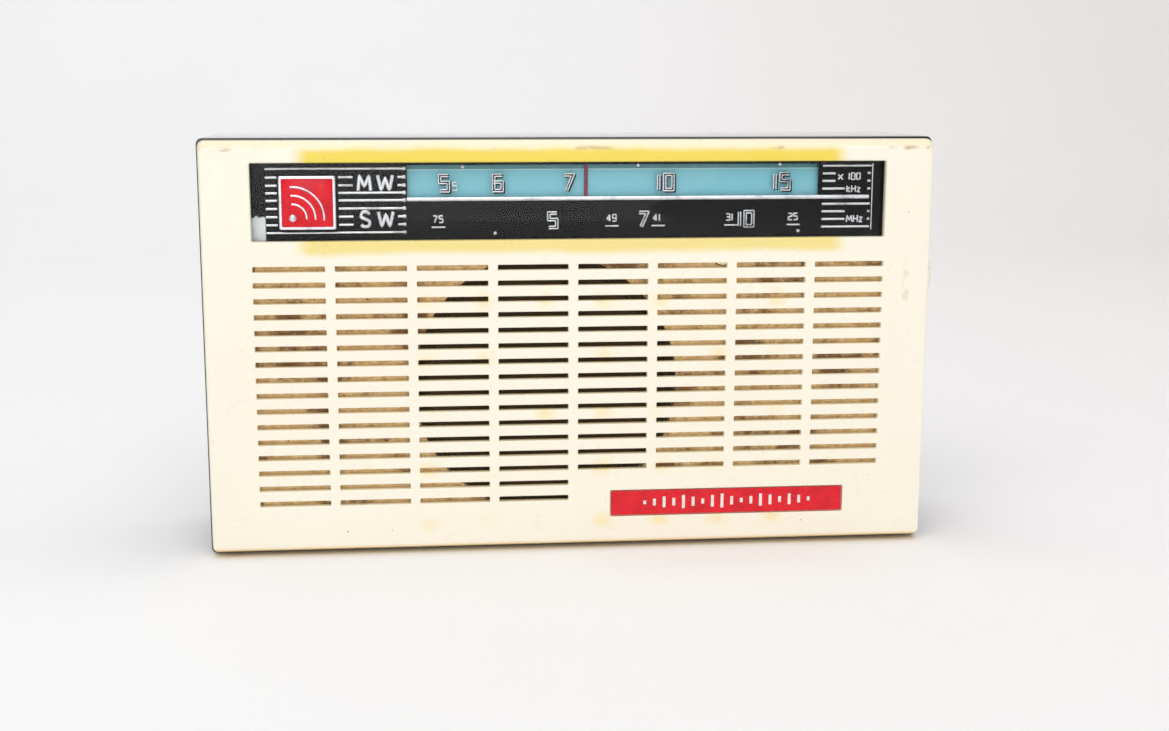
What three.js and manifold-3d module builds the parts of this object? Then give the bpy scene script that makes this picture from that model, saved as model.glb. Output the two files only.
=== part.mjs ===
// Transistor portable radio: a shallow ivory front panel and a deeper black rear case,
// with the dial drive, speaker, circuit board, aerial rod and battery between them.
//
// Millimetres. +X is to the right, the dial faces -Y and +Z is up. The origin is the middle
// of the flat base, half way between the face of the front panel and the back of the case.

import * as THREE from "three";
import { mergeVertices } from "three/addons/utils/BufferGeometryUtils.js";
import Module from "manifold-3d";

const wasm = await Module();
wasm.setup();

// ---------------------------------------------------------------- driving dimensions

const CASE_WIDTH = 174.5;
const CASE_HEIGHT = 99.6;
const FACE_Y = -20;
const SEAM_Y = -15;
const BACK_Y = 20;
const WALL = 2;
const DRAFT = Math.tan(THREE.MathUtils.degToRad(1));
const GAP = 0.3; // between pieces that touch
const THROUGH = 1; // how far a cutter runs past the face that it cuts

// The ivory front panel is slightly smaller all round than the case behind it.
const PANEL = {
  halfWidth: 86.7,
  bottom: 0.8,
  top: 99.1,
  faceHalfWidth: 86.1,
  faceBottom: 2,
  faceTop: 97.35,
  bevelDepth: 3,
  plate: 2,
  rim: 3,
  lipDepth: 0.9,
};

// Loudspeaker grille: columns of wide slots, with the lowest rows missing on the right.
const GRILLE = {
  columns: 8,
  pitchX: 19,
  slotWidth: 16.7,
  rowPitch: 3.755,
  slotHeight: 1.3,
  topRowZ: 69.46,
  longRows: 16,
  shortRows: 14,
  longColumns: 4,
};

const DIAL = { x0: -74.8, x1: 74.8, z0: 75.95, z1: 94.1 };
const DIAL_FLANGE = { x0: -75.7, x1: 76.3, z0: 75.3, z1: 95.6 };
const SCALE_WINDOW = { x0: -38.8, x1: 59.1, z0: 85.7, z1: 93.3 };
const EMBLEM = { x0: -68.3, x1: -55.3, z0: 78.75, z1: 91.1 };
const BADGE = { x0: 9.3, x1: 66.3, z0: 8.45, z1: 14.43 };

// Depths, front to back.
const PLATE_BACK = FACE_Y + PANEL.plate;
const LENS = { front: -19.6, step: PLATE_BACK + GAP, back: -17.1 };
const MASK = { front: -16.8, back: -16.4 };
const NEEDLE = { front: -16, back: -15.6 };
const BACKING = { front: -15.2, back: -14.6 };
const BAFFLE = { front: PLATE_BACK + GAP, back: -16.2, x: 80, z0: 9.2, z1: 74.7 };
const BRACKET = { front: -10.6, back: -9.6 };
const WHEELS = { front: -9.2, back: -3.8 };
const BOARD = { front: 3.4, back: 5, x0: 31, x1: 83.8, z0: 4, z1: 80 };

// Dial drive: a thumbwheel and cord drum on one shaft, three idlers and a loop of cord.
const TUNING = { x: 75.3, z: 65.2, wheelRadius: 15, shaftRadius: 1.5 };
const CORD = { y: -12.3, half: 0.45, drumRadius: 8, idlerRadius: 2.4 };
const DRUM = { flange: 9, groove: 7.2, front: -13.65, back: -10.95, flangeThickness: 0.5 };
const IDLER = { flange: 2.9, groove: 1.6, bore: 1.15, stud: 0.8 };
const CORD_TOP_Z = 83.4;
const LEFT_IDLER = { x: -72, z: CORD_TOP_Z - CORD.idlerRadius };
const UPPER_IDLER = {
  x: TUNING.x + CORD.drumRadius - CORD.idlerRadius,
  z: CORD_TOP_Z - CORD.idlerRadius,
};
const LOWER_IDLER = {
  x: TUNING.x - CORD.drumRadius - CORD.idlerRadius,
  z: CORD_TOP_Z - 3 * CORD.idlerRadius,
};
const RAIL = { y: -13.9, z: 81.2, radius: 0.8, x0: -66.9, x1: 65 };
const POINTER_REST_X = 3.3;

const VOLUME = { x: 77.95, z: 36, wheelRadius: 11, shaftRadius: 1.5, potRadius: 6.5 };
const SPEAKER = { x: -6.4, z: 41, opening: 31.65, radius: 34 };
const GANG = { left: 10, right: 8.8, half: 10, front: 5.3, back: 16.5, plate: 1 };
const ROTOR = { radius: 7, plates: 5, pitch: 1.7, thickness: 0.5, firstY: 7.5, collar: 2.4 };
const ROTOR_REST_ANGLE = THREE.MathUtils.degToRad(103.9);

const ROD = { y: 7, z: 89, radius: 4, x0: -66, x1: 62 };
const BATTERY = { x0: -80, x1: -53.5, y0: -1, y1: 16.5, z0: 6.2, z1: 52.6, studSpacing: 12.7 };
const COVER_SCREW = { x: 0, z: 79, headRadius: 4.5, shankRadius: 1.6 };
const SOCKET_Y = -1.25;
const SOCKETS_Z = { aerial: 76, earphone: 65 };
const SWITCH = { x: 43.5, z: 70, travel: 5 };

const BOARD_PILLARS = [
  [36, 6.2],
  [80.5, 6.2],
  [36, 72],
];
const BRACKET_BOSSES = { left: [-80.5, 90], right: [81, 90] };
const STAKES = [
  [-76.5, 13],
  [-76.5, 70],
  [76.5, 14],
  [76.5, 48],
];
const SCREW = { shank: 1, bore: 1.3, head: 2.6, headDepth: 1.3, length: 7 };

// ---------------------------------------------------------------- finishes

const FINISH = {
  ivory: { color: 0xf7eed8, roughness: 0.35, metalness: 0 },
  black: { color: 0x141215, roughness: 0.2, metalness: 0 },
  clear: { color: 0xbfd8dc, roughness: 0.08, metalness: 0 },
  teal: { color: 0x6ebec8, roughness: 0.5, metalness: 0 },
  red: { color: 0xc81f30, roughness: 0.3, metalness: 0 },
  maroon: { color: 0x8a2c4c, roughness: 0.4, metalness: 0 },
  chrome: { color: 0xd8d8da, roughness: 0.15, metalness: 1 },
  steel: { color: 0xb4b6b8, roughness: 0.4, metalness: 1 },
  aluminium: { color: 0xc6c8ca, roughness: 0.35, metalness: 1 },
  brass: { color: 0xb8944a, roughness: 0.3, metalness: 1 },
  tan: { color: 0xcaa56c, roughness: 0.9, metalness: 0 },
  paper: { color: 0x26221f, roughness: 0.95, metalness: 0 },
  magnet: { color: 0x4b4d52, roughness: 0.5, metalness: 0.6 },
  laminate: { color: 0x9a6a30, roughness: 0.5, metalness: 0 },
  ferrite: { color: 0x2f2c2d, roughness: 0.6, metalness: 0 },
  copper: { color: 0xa8663a, roughness: 0.35, metalness: 0.8 },
  nylon: { color: 0xe4e0d2, roughness: 0.4, metalness: 0 },
  cord: { color: 0xd9cfb4, roughness: 0.9, metalness: 0 },
  battery: { color: 0x2c4f8c, roughness: 0.4, metalness: 0.2 },
  redWire: { color: 0xb52222, roughness: 0.45, metalness: 0 },
  blackWire: { color: 0x1b1b1d, roughness: 0.45, metalness: 0 },
};

// ---------------------------------------------------------------- solid tools

const AXES = {
  x: new THREE.Vector3(1, 0, 0),
  y: new THREE.Vector3(0, 1, 0),
  z: new THREE.Vector3(0, 0, 1),
};
const SHAPE_TO_YZ = new THREE.Matrix4().makeBasis(AXES.y, AXES.z, AXES.x);

function solid(geometry) {
  const bare = geometry.clone();
  bare.deleteAttribute("normal");
  bare.deleteAttribute("uv");
  const merged = mergeVertices(bare, 1e-4);
  return new wasm.Manifold(
    new wasm.Mesh({
      numProp: 3,
      vertProperties: merged.attributes.position.array,
      triVerts: new Uint32Array(merged.index.array),
    }),
  );
}

function join(...solids) {
  return solids.reduce((whole, next) => whole.add(next));
}

function cut(whole, ...cutters) {
  return cutters.reduce((left, cutter) => left.subtract(cutter), whole);
}

function box(x0, x1, y0, y1, z0, z1) {
  const geometry = new THREE.BoxGeometry(x1 - x0, y1 - y0, z1 - z0);
  return solid(geometry.translate((x0 + x1) / 2, (y0 + y1) / 2, (z0 + z1) / 2));
}

// A cylinder along Y, and one along X.
function rod(x, z, radius, y0, y1, sides = 14) {
  const geometry = new THREE.CylinderGeometry(radius, radius, y1 - y0, sides);
  return solid(geometry.translate(x, (y0 + y1) / 2, z));
}

function rodAlongX(x0, x1, y, z, radius, sides = 14) {
  const geometry = new THREE.CylinderGeometry(radius, radius, x1 - x0, sides);
  return solid(geometry.rotateZ(Math.PI / 2).translate((x0 + x1) / 2, y, z));
}

function extrude(shape, depth, curveSegments = 5) {
  return new THREE.ExtrudeGeometry(shape, { depth, bevelEnabled: false, curveSegments });
}

// A shape in X and Z, pushed along Y.
function alongY(shape, y0, y1, curveSegments) {
  const geometry = extrude(shape, y1 - y0, curveSegments);
  return solid(geometry.rotateX(Math.PI / 2).translate(0, y1, 0));
}

// A shape in Y and Z, pushed along X, and one in X and Y, pushed along Z.
function alongX(shape, x0, x1, curveSegments) {
  const geometry = extrude(shape, x1 - x0, curveSegments);
  return solid(geometry.applyMatrix4(SHAPE_TO_YZ).translate(x0, 0, 0));
}

function alongZ(shape, z0, z1, curveSegments) {
  return solid(extrude(shape, z1 - z0, curveSegments).translate(0, 0, z0));
}

// A profile of [radius, y] pairs turned about the Y axis, its outer side running towards +Y.
function turned(profile, sides = 20) {
  const points = profile.map(([radius, y]) => new THREE.Vector2(radius, y));
  return solid(new THREE.LatheGeometry(points, sides));
}

function closed(profile) {
  return [...profile, profile[0]];
}

function polygon(points) {
  return new THREE.Shape(points.map(([u, v]) => new THREE.Vector2(u, v)));
}

function roundedRectangle(x0, x1, z0, z1, radius) {
  const shape = new THREE.Shape();
  shape.absarc(x1 - radius, z0 + radius, radius, -Math.PI / 2, 0);
  shape.absarc(x1 - radius, z1 - radius, radius, 0, Math.PI / 2);
  shape.absarc(x0 + radius, z1 - radius, radius, Math.PI / 2, Math.PI);
  shape.absarc(x0 + radius, z0 + radius, radius, Math.PI, (3 * Math.PI) / 2);
  return shape;
}

function mesh(name, shape, finish, position = [0, 0, 0]) {
  const made = shape.getMesh();
  const geometry = new THREE.BufferGeometry();
  geometry.setAttribute("position", new THREE.BufferAttribute(made.vertProperties, 3));
  geometry.setIndex(new THREE.BufferAttribute(made.triVerts, 1));
  geometry.computeVertexNormals();
  const part = new THREE.Mesh(geometry, new THREE.MeshStandardMaterial(FINISH[finish]));
  part.name = name;
  part.position.set(...position);
  return part;
}

// ---------------------------------------------------------------- housing

// Everything behind the seam and within `inset` of the outside of the rear case.
function caseVolume(inset, front) {
  const halfFront = CASE_WIDTH / 2 - inset;
  const halfBack = halfFront - DRAFT * (BACK_Y - SEAM_Y);
  const topFront = CASE_HEIGHT - inset;
  const topBack = topFront - DRAFT * (BACK_Y - SEAM_Y);
  const back = BACK_Y - inset;
  const radius = 4 - inset / 2;

  const plan = new THREE.Shape();
  plan.moveTo(-halfFront, front);
  plan.lineTo(halfFront, front);
  plan.absarc(halfBack - radius, back - radius, radius, 0, Math.PI / 2);
  plan.absarc(radius - halfBack, back - radius, radius, Math.PI / 2, Math.PI);

  const side = new THREE.Shape();
  side.moveTo(front, topFront);
  side.lineTo(front, inset);
  side.absarc(back - radius, inset + radius, radius, -Math.PI / 2, 0);
  side.absarc(back - radius, topBack - radius, radius, 0, Math.PI / 2);

  const outline = roundedRectangle(-halfFront, halfFront, inset, topFront, 1.4);
  return alongY(outline, front, back, 3)
    .intersect(alongZ(plan, -THROUGH, CASE_HEIGHT + THROUGH, 5))
    .intersect(alongX(side, -CASE_WIDTH, CASE_WIDTH, 5));
}

// Half the height of the slot in the side wall that a thumbwheel needs.
function notchHalf(wheel) {
  const inside = CASE_WIDTH / 2 - WALL;
  return Math.sqrt(wheel.wheelRadius ** 2 - (inside - wheel.x) ** 2) + 0.6;
}

function wheelNotch(wheel) {
  const half = notchHalf(wheel);
  const wallFrom = CASE_WIDTH / 2 - WALL - 5;
  const notchBack = WHEELS.back + 0.6;
  return box(wallFrom, CASE_WIDTH, SEAM_Y - THROUGH, notchBack, wheel.z - half, wheel.z + half);
}

// A tongue of the front panel that fills the slot in front of a thumbwheel.
function wheelGuard(wheel) {
  const half = notchHalf(wheel) - GAP;
  const guardFrom = PANEL.halfWidth - 1.8;
  const guardBack = WHEELS.front - 0.4;
  return box(guardFrom, PANEL.halfWidth, SEAM_Y - 0.2, guardBack, wheel.z - half, wheel.z + half);
}

function rearCase() {
  const { x, z, headRadius, shankRadius } = COVER_SCREW;
  const shell = cut(caseVolume(0, SEAM_Y + GAP), caseVolume(WALL, SEAM_Y - THROUGH));
  const screwBoss = rod(x, z, headRadius + 2, 14.9, BACK_Y - 1);
  const screwHole = rod(x, z, shankRadius + 0.4, 10, BACK_Y + THROUGH);
  const counterbore = rod(x, z, headRadius + 0.4, BACK_Y - 2.5, BACK_Y + THROUGH);
  const switchSlot = box(
    SWITCH.x - 2.5,
    SWITCH.x + SWITCH.travel + 2.5,
    BACK_Y - 2 * WALL,
    BACK_Y + THROUGH,
    SWITCH.z - 2.5,
    SWITCH.z + 2.5,
  );
  const socketHoles = Object.values(SOCKETS_Z).map((height) =>
    rodAlongX(-CASE_WIDTH / 2 - THROUGH, 5 - CASE_WIDTH / 2, SOCKET_Y, height, 3.3),
  );
  return cut(
    join(shell, screwBoss),
    screwHole,
    counterbore,
    switchSlot,
    wheelNotch(TUNING),
    wheelNotch(VOLUME),
    ...socketHoles,
  );
}

function grilleSlots() {
  const slots = [];
  for (let column = 0; column < GRILLE.columns; column += 1) {
    const x = (column - (GRILLE.columns - 1) / 2) * GRILLE.pitchX;
    const rows = column < GRILLE.longColumns ? GRILLE.longRows : GRILLE.shortRows;
    for (let row = 0; row < rows; row += 1) {
      const z = GRILLE.topRowZ - row * GRILLE.rowPitch;
      slots.push(
        box(
          x - GRILLE.slotWidth / 2,
          x + GRILLE.slotWidth / 2,
          FACE_Y - THROUGH,
          PLATE_BACK + THROUGH,
          z - GRILLE.slotHeight / 2,
          z + GRILLE.slotHeight / 2,
        ),
      );
    }
  }
  return slots;
}

// A post on the back of the face plate, with a blind hole for a screw.
function boss([x, z], radius, end) {
  const post = rod(x, z, radius, PLATE_BACK - 0.5, end);
  const hole = rod(x, z, SCREW.bore, Math.max(end - SCREW.length, PLATE_BACK + 0.4), end + THROUGH, 12);
  return cut(post, hole);
}

// A post that goes through the baffle board and is melted over behind it.
function stake([x, z]) {
  const post = rod(x, z, 1.8, PLATE_BACK - 0.5, -15.5, 12);
  const head = rod(x, z, 3, BAFFLE.back + GAP, -15.2, 12);
  return join(post, head);
}

function frontPanel() {
  const bevelBack = FACE_Y + PANEL.bevelDepth;
  const { halfWidth, faceHalfWidth, bottom, top, faceBottom, faceTop, rim } = PANEL;
  const lipBack = SEAM_Y + PANEL.lipDepth;
  const outline = roundedRectangle(-halfWidth, halfWidth, bottom, top, 1.4);
  const plan = polygon([
    [-faceHalfWidth, FACE_Y],
    [faceHalfWidth, FACE_Y],
    [halfWidth, bevelBack],
    [halfWidth, SEAM_Y],
    [-halfWidth, SEAM_Y],
    [-halfWidth, bevelBack],
  ]);
  const side = polygon([
    [FACE_Y, faceTop],
    [FACE_Y, faceBottom],
    [bevelBack, bottom],
    [SEAM_Y, bottom],
    [SEAM_Y, top],
    [bevelBack, top],
  ]);
  const block = alongY(outline, FACE_Y, SEAM_Y, 3)
    .intersect(alongZ(plan, -THROUGH, CASE_HEIGHT + THROUGH))
    .intersect(alongX(side, -CASE_WIDTH, CASE_WIDTH));

  // A low lip behind the seam slips just inside the rear case.
  const lipHalf = CASE_WIDTH / 2 - WALL - 0.35;
  const lipBottom = WALL + 0.35;
  const lipTop = CASE_HEIGHT - WALL - 0.35;
  const lip = alongY(roundedRectangle(-lipHalf, lipHalf, lipBottom, lipTop, 2), -16, lipBack, 3);
  const hollow = alongY(
    roundedRectangle(rim - halfWidth, halfWidth - rim, bottom + rim, top - rim, 1),
    PLATE_BACK,
    lipBack + THROUGH,
    2,
  );
  const dialOpening = box(DIAL.x0, DIAL.x1, FACE_Y - THROUGH, PLATE_BACK + THROUGH, DIAL.z0, DIAL.z1);
  const badgeRecess = box(
    BADGE.x0 - GAP,
    BADGE.x1 + GAP,
    FACE_Y - THROUGH,
    FACE_Y + 0.9,
    BADGE.z0 - GAP,
    BADGE.z1 + GAP,
  );
  const shell = cut(join(block, lip), hollow, dialOpening, badgeRecess, ...grilleSlots());
  return join(
    shell,
    wheelGuard(TUNING),
    wheelGuard(VOLUME),
    ...BOARD_PILLARS.map((place) => boss(place, 2.6, BOARD.front - GAP)),
    ...Object.values(BRACKET_BOSSES).map((place) => boss(place, 2.5, BRACKET.front - GAP)),
    ...STAKES.map(stake),
  );
}

// ---------------------------------------------------------------- dial

function dialLens() {
  const { x0, x1, z0, z1 } = DIAL;
  const pad = box(x0 + GAP, x1 - GAP, LENS.front, LENS.step + 0.1, z0 + GAP, z1 - GAP);
  const flange = box(
    DIAL_FLANGE.x0,
    DIAL_FLANGE.x1,
    LENS.step,
    LENS.back,
    DIAL_FLANGE.z0,
    DIAL_FLANGE.z1,
  );
  const emblemPocket = box(
    EMBLEM.x0 - GAP,
    EMBLEM.x1 + GAP,
    LENS.front - THROUGH,
    -18.6,
    EMBLEM.z0 - GAP,
    EMBLEM.z1 + GAP,
  );
  return cut(join(pad, flange), emblemPocket);
}

function dialMask() {
  const { x0, x1, z0, z1 } = DIAL_FLANGE;
  const sheet = box(x0, x1, MASK.front, MASK.back, z0, z1);
  const window = box(
    SCALE_WINDOW.x0,
    SCALE_WINDOW.x1,
    MASK.front - THROUGH,
    MASK.back + THROUGH,
    SCALE_WINDOW.z0,
    SCALE_WINDOW.z1,
  );
  return cut(sheet, window);
}

function dialBacking() {
  return box(
    SCALE_WINDOW.x0 - 2.2,
    SCALE_WINDOW.x1 + 2.2,
    BACKING.front,
    BACKING.back,
    SCALE_WINDOW.z0 - 0.75,
    SCALE_WINDOW.z1 + 2,
  );
}

function emblemPlate() {
  return box(EMBLEM.x0, EMBLEM.x1, -19.9, -18.9, EMBLEM.z0, EMBLEM.z1);
}

function nameBadge() {
  return box(BADGE.x0, BADGE.x1, FACE_Y, FACE_Y + 0.6, BADGE.z0, BADGE.z1);
}

// ---------------------------------------------------------------- dial drive

// The run of cord round the drum and the idlers, moved `offset` outwards from its middle.
function cordLoop(offset) {
  const idlerRadius = CORD.idlerRadius;
  const loop = new THREE.Shape();
  loop.absarc(LEFT_IDLER.x, LEFT_IDLER.z, idlerRadius + offset, Math.PI / 2, (3 * Math.PI) / 2);
  loop.absarc(LOWER_IDLER.x, LOWER_IDLER.z, idlerRadius - offset, Math.PI / 2, 0, true);
  loop.absarc(TUNING.x, TUNING.z, CORD.drumRadius + offset, Math.PI, 2 * Math.PI);
  loop.absarc(UPPER_IDLER.x, UPPER_IDLER.z, idlerRadius + offset, 0, Math.PI / 2);
  return loop;
}

function dialCord() {
  const band = cordLoop(CORD.half);
  band.holes.push(cordLoop(-CORD.half));
  return alongY(band, CORD.y - CORD.half, CORD.y + CORD.half, 5);
}

// A grooved wheel's [radius, y] profile on the outside, from front to back.
function groovedRim({ flange, groove }) {
  const { front, back, flangeThickness } = DRUM;
  return [
    [flange, front],
    [flange, front + flangeThickness],
    [groove, front + flangeThickness],
    [groove, back - flangeThickness],
    [flange, back - flangeThickness],
    [flange, back],
  ];
}

function idler() {
  return turned(closed([[IDLER.bore, DRUM.front], ...groovedRim(IDLER), [IDLER.bore, DRUM.back]]), 12);
}

// The cord drum is cast on the tuning shaft, which runs back through the thumbwheel.
function tuningDrum() {
  const radius = TUNING.shaftRadius;
  return turned([
    [0, DRUM.front - 0.4],
    [radius, DRUM.front - 0.4],
    [radius, DRUM.front],
    ...groovedRim(DRUM),
    [radius, DRUM.back],
    [radius, -0.5],
    [0, -0.5],
  ]);
}

function tuningWheel() {
  const bore = TUNING.shaftRadius + GAP;
  const rim = TUNING.wheelRadius;
  return turned(
    closed([
      [bore, WHEELS.front],
      [rim - 0.5, WHEELS.front],
      [rim, WHEELS.front + 0.5],
      [rim, WHEELS.back - 0.5],
      [rim - 0.5, WHEELS.back],
      [bore, WHEELS.back],
    ]),
    36,
  );
}

function volumeWheel() {
  const rim = VOLUME.wheelRadius;
  return turned(
    [
      [0, WHEELS.front],
      [rim - 0.5, WHEELS.front],
      [rim, WHEELS.front + 0.5],
      [rim, WHEELS.back - 0.5],
      [rim - 0.5, WHEELS.back],
      [VOLUME.shaftRadius, WHEELS.back],
      [VOLUME.shaftRadius, 0.5],
      [0, 0.5],
    ],
    28,
  );
}

function volumePot() {
  const body = rod(0, 0, VOLUME.potRadius, WHEELS.back + GAP, BOARD.front - GAP, 20);
  const tags = box(-5, 5, 1.4, BOARD.front - GAP, -8.5, 0);
  const bore = rod(0, 0, VOLUME.shaftRadius + GAP, -5, 1, 16);
  return cut(join(body, tags), bore);
}

function driveBracket() {
  const plate = alongY(
    polygon([
      [-84.2, 75],
      [60, 75],
      [60, 56],
      [84, 56],
      [84, 93],
      [-84.2, 93],
    ]),
    BRACKET.front,
    BRACKET.back,
  );
  const socketFlange = box(-84.2, -83, BRACKET.front, 4.5, 59.5, 82);
  const studs = [LEFT_IDLER, UPPER_IDLER, LOWER_IDLER].map(({ x, z }) =>
    rod(x, z, IDLER.stud, DRUM.front - 0.4, BRACKET.back, 12),
  );
  const railEars = [-65.8, 63.9].map((x) =>
    cut(
      box(x - 0.7, x + 0.7, -15.1, BRACKET.back, 79.7, 82.5),
      rodAlongX(x - 2, x + 2, RAIL.y, RAIL.z, RAIL.radius + GAP, 12),
    ),
  );
  const backingPosts = [SCALE_WINDOW.x0 - 1, SCALE_WINDOW.x1 + 1].map((x) =>
    rod(x, 93.2, 1, BACKING.back + GAP, BRACKET.back, 12),
  );
  const holes = [
    rod(TUNING.x, TUNING.z, TUNING.shaftRadius + 0.35, BRACKET.front - 1, BRACKET.back + 1),
    ...Object.values(BRACKET_BOSSES).map(([x, z]) =>
      rod(x, z, SCREW.bore, BRACKET.front - 1, BRACKET.back + 1, 12),
    ),
    ...Object.values(SOCKETS_Z).map((z) => rodAlongX(-86, -80, SOCKET_Y, z, 3.2)),
  ];
  return cut(join(plate, socketFlange, ...studs, ...railEars, ...backingPosts), ...holes);
}

function guideRail() {
  return rodAlongX(RAIL.x0, RAIL.x1, RAIL.y, RAIL.z, RAIL.radius, 12);
}

// The carriage runs on the rail and grips the upper run of cord. Its needle stands in front
// of the dial backing.
function pointer() {
  const sleeve = box(-5, 5, -15.4, -12.4, 79.7, 82.7);
  const clamp = box(-2, 2, -15.4, -11.3, 82, 84.4);
  const arm = box(-0.9, 0.9, NEEDLE.front, -15.3, 80.5, 84.6);
  const needle = box(-0.4, 0.4, NEEDLE.front, NEEDLE.back, 84.5, 94);
  const railBore = rodAlongX(-6, 6, RAIL.y, RAIL.z, RAIL.radius + 0.35, 12);
  const cordBore = box(-6, 6, CORD.y - 0.8, CORD.y + 0.8, CORD_TOP_Z - 0.8, CORD_TOP_Z + 0.8);
  return cut(join(sleeve, clamp, arm, needle), railBore, cordBore);
}

// ---------------------------------------------------------------- tuning capacitor

function gangFrame() {
  const { left, right, half, front, back, plate } = GANG;
  const frontPlate = box(-left, right, front, front + plate, -half, half);
  const backPlate = box(-left, right, back - plate, back, -half, half);
  const upper = box(-left, right, front, back, half - plate, half);
  const lower = box(-left, right, front, back, -half, plate - half);
  const bushing = rod(0, 0, 4.5, WHEELS.back + GAP, front + 0.2);
  const bore = rod(0, 0, TUNING.shaftRadius + 0.4, -5, back + THROUGH);
  return cut(join(frontPlate, backPlate, upper, lower, bushing), bore);
}

function halfRing(inner, outer, middleAngle) {
  const from = middleAngle - Math.PI / 2;
  const to = middleAngle + Math.PI / 2;
  const shape = new THREE.Shape();
  shape.absarc(0, 0, outer, from, to);
  shape.absarc(0, 0, inner, to, from, true);
  return shape;
}

function gangStator() {
  const { firstY, pitch, thickness, plates, collar, radius } = ROTOR;
  const vanes = [];
  for (let i = 0; i < plates - 1; i += 1) {
    const y = firstY + pitch / 2 + i * pitch;
    vanes.push(alongY(halfRing(collar + 0.4, radius + 1.4, Math.PI), y, y + thickness, 5));
  }
  const post = box(-9.6, -radius - 0.5, 6.6, 15.2, -3, 3);
  return join(...vanes, post);
}

function gangRotor() {
  const { firstY, pitch, thickness, plates, collar, radius } = ROTOR;
  const vanes = [];
  for (let i = 0; i < plates; i += 1) {
    const y = firstY + i * pitch;
    vanes.push(alongY(halfRing(collar - 0.6, radius, ROTOR_REST_ANGLE), y, y + thickness, 5));
  }
  const shaft = rod(0, 0, TUNING.shaftRadius, 0, 16.2, 16);
  const sleeve = rod(0, 0, collar, 6.7, 15.1, 16);
  return join(shaft, sleeve, ...vanes);
}

// ---------------------------------------------------------------- loudspeaker

function baffleBoard() {
  const { front, back, x, z0, z1 } = BAFFLE;
  const sheet = box(-x, x, front, back, z0, z1);
  const opening = rod(SPEAKER.x, SPEAKER.z, SPEAKER.opening, front - 1, back + 1, 32);
  const pillarHoles = BOARD_PILLARS.map(([px, pz]) => rod(px, pz, 2.95, front - 1, back + 1));
  const stakeHoles = STAKES.map(([px, pz]) => rod(px, pz, 2.2, front - 1, back + 1, 12));
  return cut(sheet, opening, ...pillarHoles, ...stakeHoles);
}

function speakerBasket() {
  const rimBack = -14.9;
  const shell = turned(
    closed([
      [31.6, BAFFLE.back + GAP],
      [SPEAKER.radius, BAFFLE.back + GAP],
      [SPEAKER.radius, rimBack],
      [32.4, rimBack],
      [16.6, -2.2],
      [7.6, -2.2],
      [7.6, -3],
      [16, -3],
      [31.6, rimBack],
    ]),
  );
  const across = box(-30, 30, -13.2, -4.4, -7, 7);
  const upright = box(-7, 7, -13.2, -4.4, -30, 30);
  return cut(shell, across, upright);
}

// Paper cone, its rolled edge, the domed cap in its middle and the voice coil tube behind it.
function speakerCone() {
  return turned(
    [
      [0, -10.4],
      [3.6, -9.8],
      [6.6, -8.1],
      [28.4, -15.3],
      [29.6, -15.9],
      [31.3, -15.9],
      [31.3, -15.4],
      [29.8, -15.4],
      [28.6, -14.7],
      [6.6, -7.3],
      [6.4, 1.5],
      [5.9, 1.5],
      [5.9, -7.8],
      [3.5, -9.2],
      [0, -9.8],
    ],
    20,
  );
}

function speakerMagnet() {
  return turned(
    [
      [0, -1.9],
      [5.5, -1.9],
      [5.5, 3],
      [6.9, 3],
      [6.9, -1.9],
      [14, -1.9],
      [14, 9.3],
      [0, 9.3],
    ],
    20,
  );
}

// ---------------------------------------------------------------- circuit board

function circuitBoard() {
  const { front, back, x0, x1, z0, z1 } = BOARD;
  const sheet = box(x0, x1, front, back, z0, z1);
  const bushingHole = rod(TUNING.x, TUNING.z, 4.9, front - 1, back + 1);
  const screwHoles = BOARD_PILLARS.map(([x, z]) => rod(x, z, SCREW.bore, front - 1, back + 1, 12));
  return cut(sheet, bushingHole, ...screwHoles);
}

// A cheese-head screw whose head bears on the plane y = 0 and whose shank runs towards -Y.
function screw() {
  const { head, shank, headDepth, length } = SCREW;
  const body = turned(
    [
      [0, 0.8 - length],
      [shank, 0.8 - length],
      [shank, GAP],
      [head, GAP],
      [head, GAP + headDepth],
      [0, GAP + headDepth],
    ],
    10,
  );
  return cut(body, box(-head, head, GAP + headDepth - 0.7, GAP + headDepth + 1, -0.4, 0.4));
}

// A screened coil in its square can, with a tuning core in the top.
function coilCan() {
  const half = 5;
  const height = 11;
  const can = alongY(roundedRectangle(-half, half, -half, half, 1), GAP, height, 2);
  return cut(can, rod(0, 0, 1.9, height - 1.5, height + 1, 10));
}

function transistor() {
  return turned(
    [
      [0, GAP],
      [1.6, GAP],
      [1.6, 2],
      [4.6, 2],
      [4.6, 2.6],
      [3.9, 2.6],
      [3.9, 7.4],
      [3.4, 8],
      [0, 8],
    ],
    10,
  );
}

function electrolytic() {
  return turned(
    [
      [0, GAP],
      [4, GAP],
      [4, 8.6],
      [3.6, 9],
      [4, 9.4],
      [4, 10.8],
      [0, 10.8],
    ],
    12,
  );
}

function transformer() {
  const core = box(-7, 7, 2, 9, -6, 6);
  const bobbin = box(-4.6, 4.6, GAP, 10.8, -5, 5);
  return join(core, bobbin);
}

// ---------------------------------------------------------------- aerial rod

function ferriteRod() {
  return rodAlongX(ROD.x0, ROD.x1, 0, 0, ROD.radius, 16);
}

function rodCoil(length) {
  const half = length / 2;
  const winding = rodAlongX(-half, half, 0, 0, 5.4, 16);
  return cut(winding, rodAlongX(-half - 1, half + 1, 0, 0, ROD.radius + GAP, 16));
}

function rodHolder() {
  const head = box(-3, 3, -5, 5, -5, 5);
  const arm = box(-3, 3, BRACKET.back + GAP - ROD.y, -4, -3, 3);
  const bore = rodAlongX(-4, 4, 0, 0, ROD.radius + GAP, 16);
  const mouth = box(-4, 4, 0, 6, -2, 2);
  return cut(join(head, arm), bore, mouth);
}

// ---------------------------------------------------------------- battery

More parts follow.
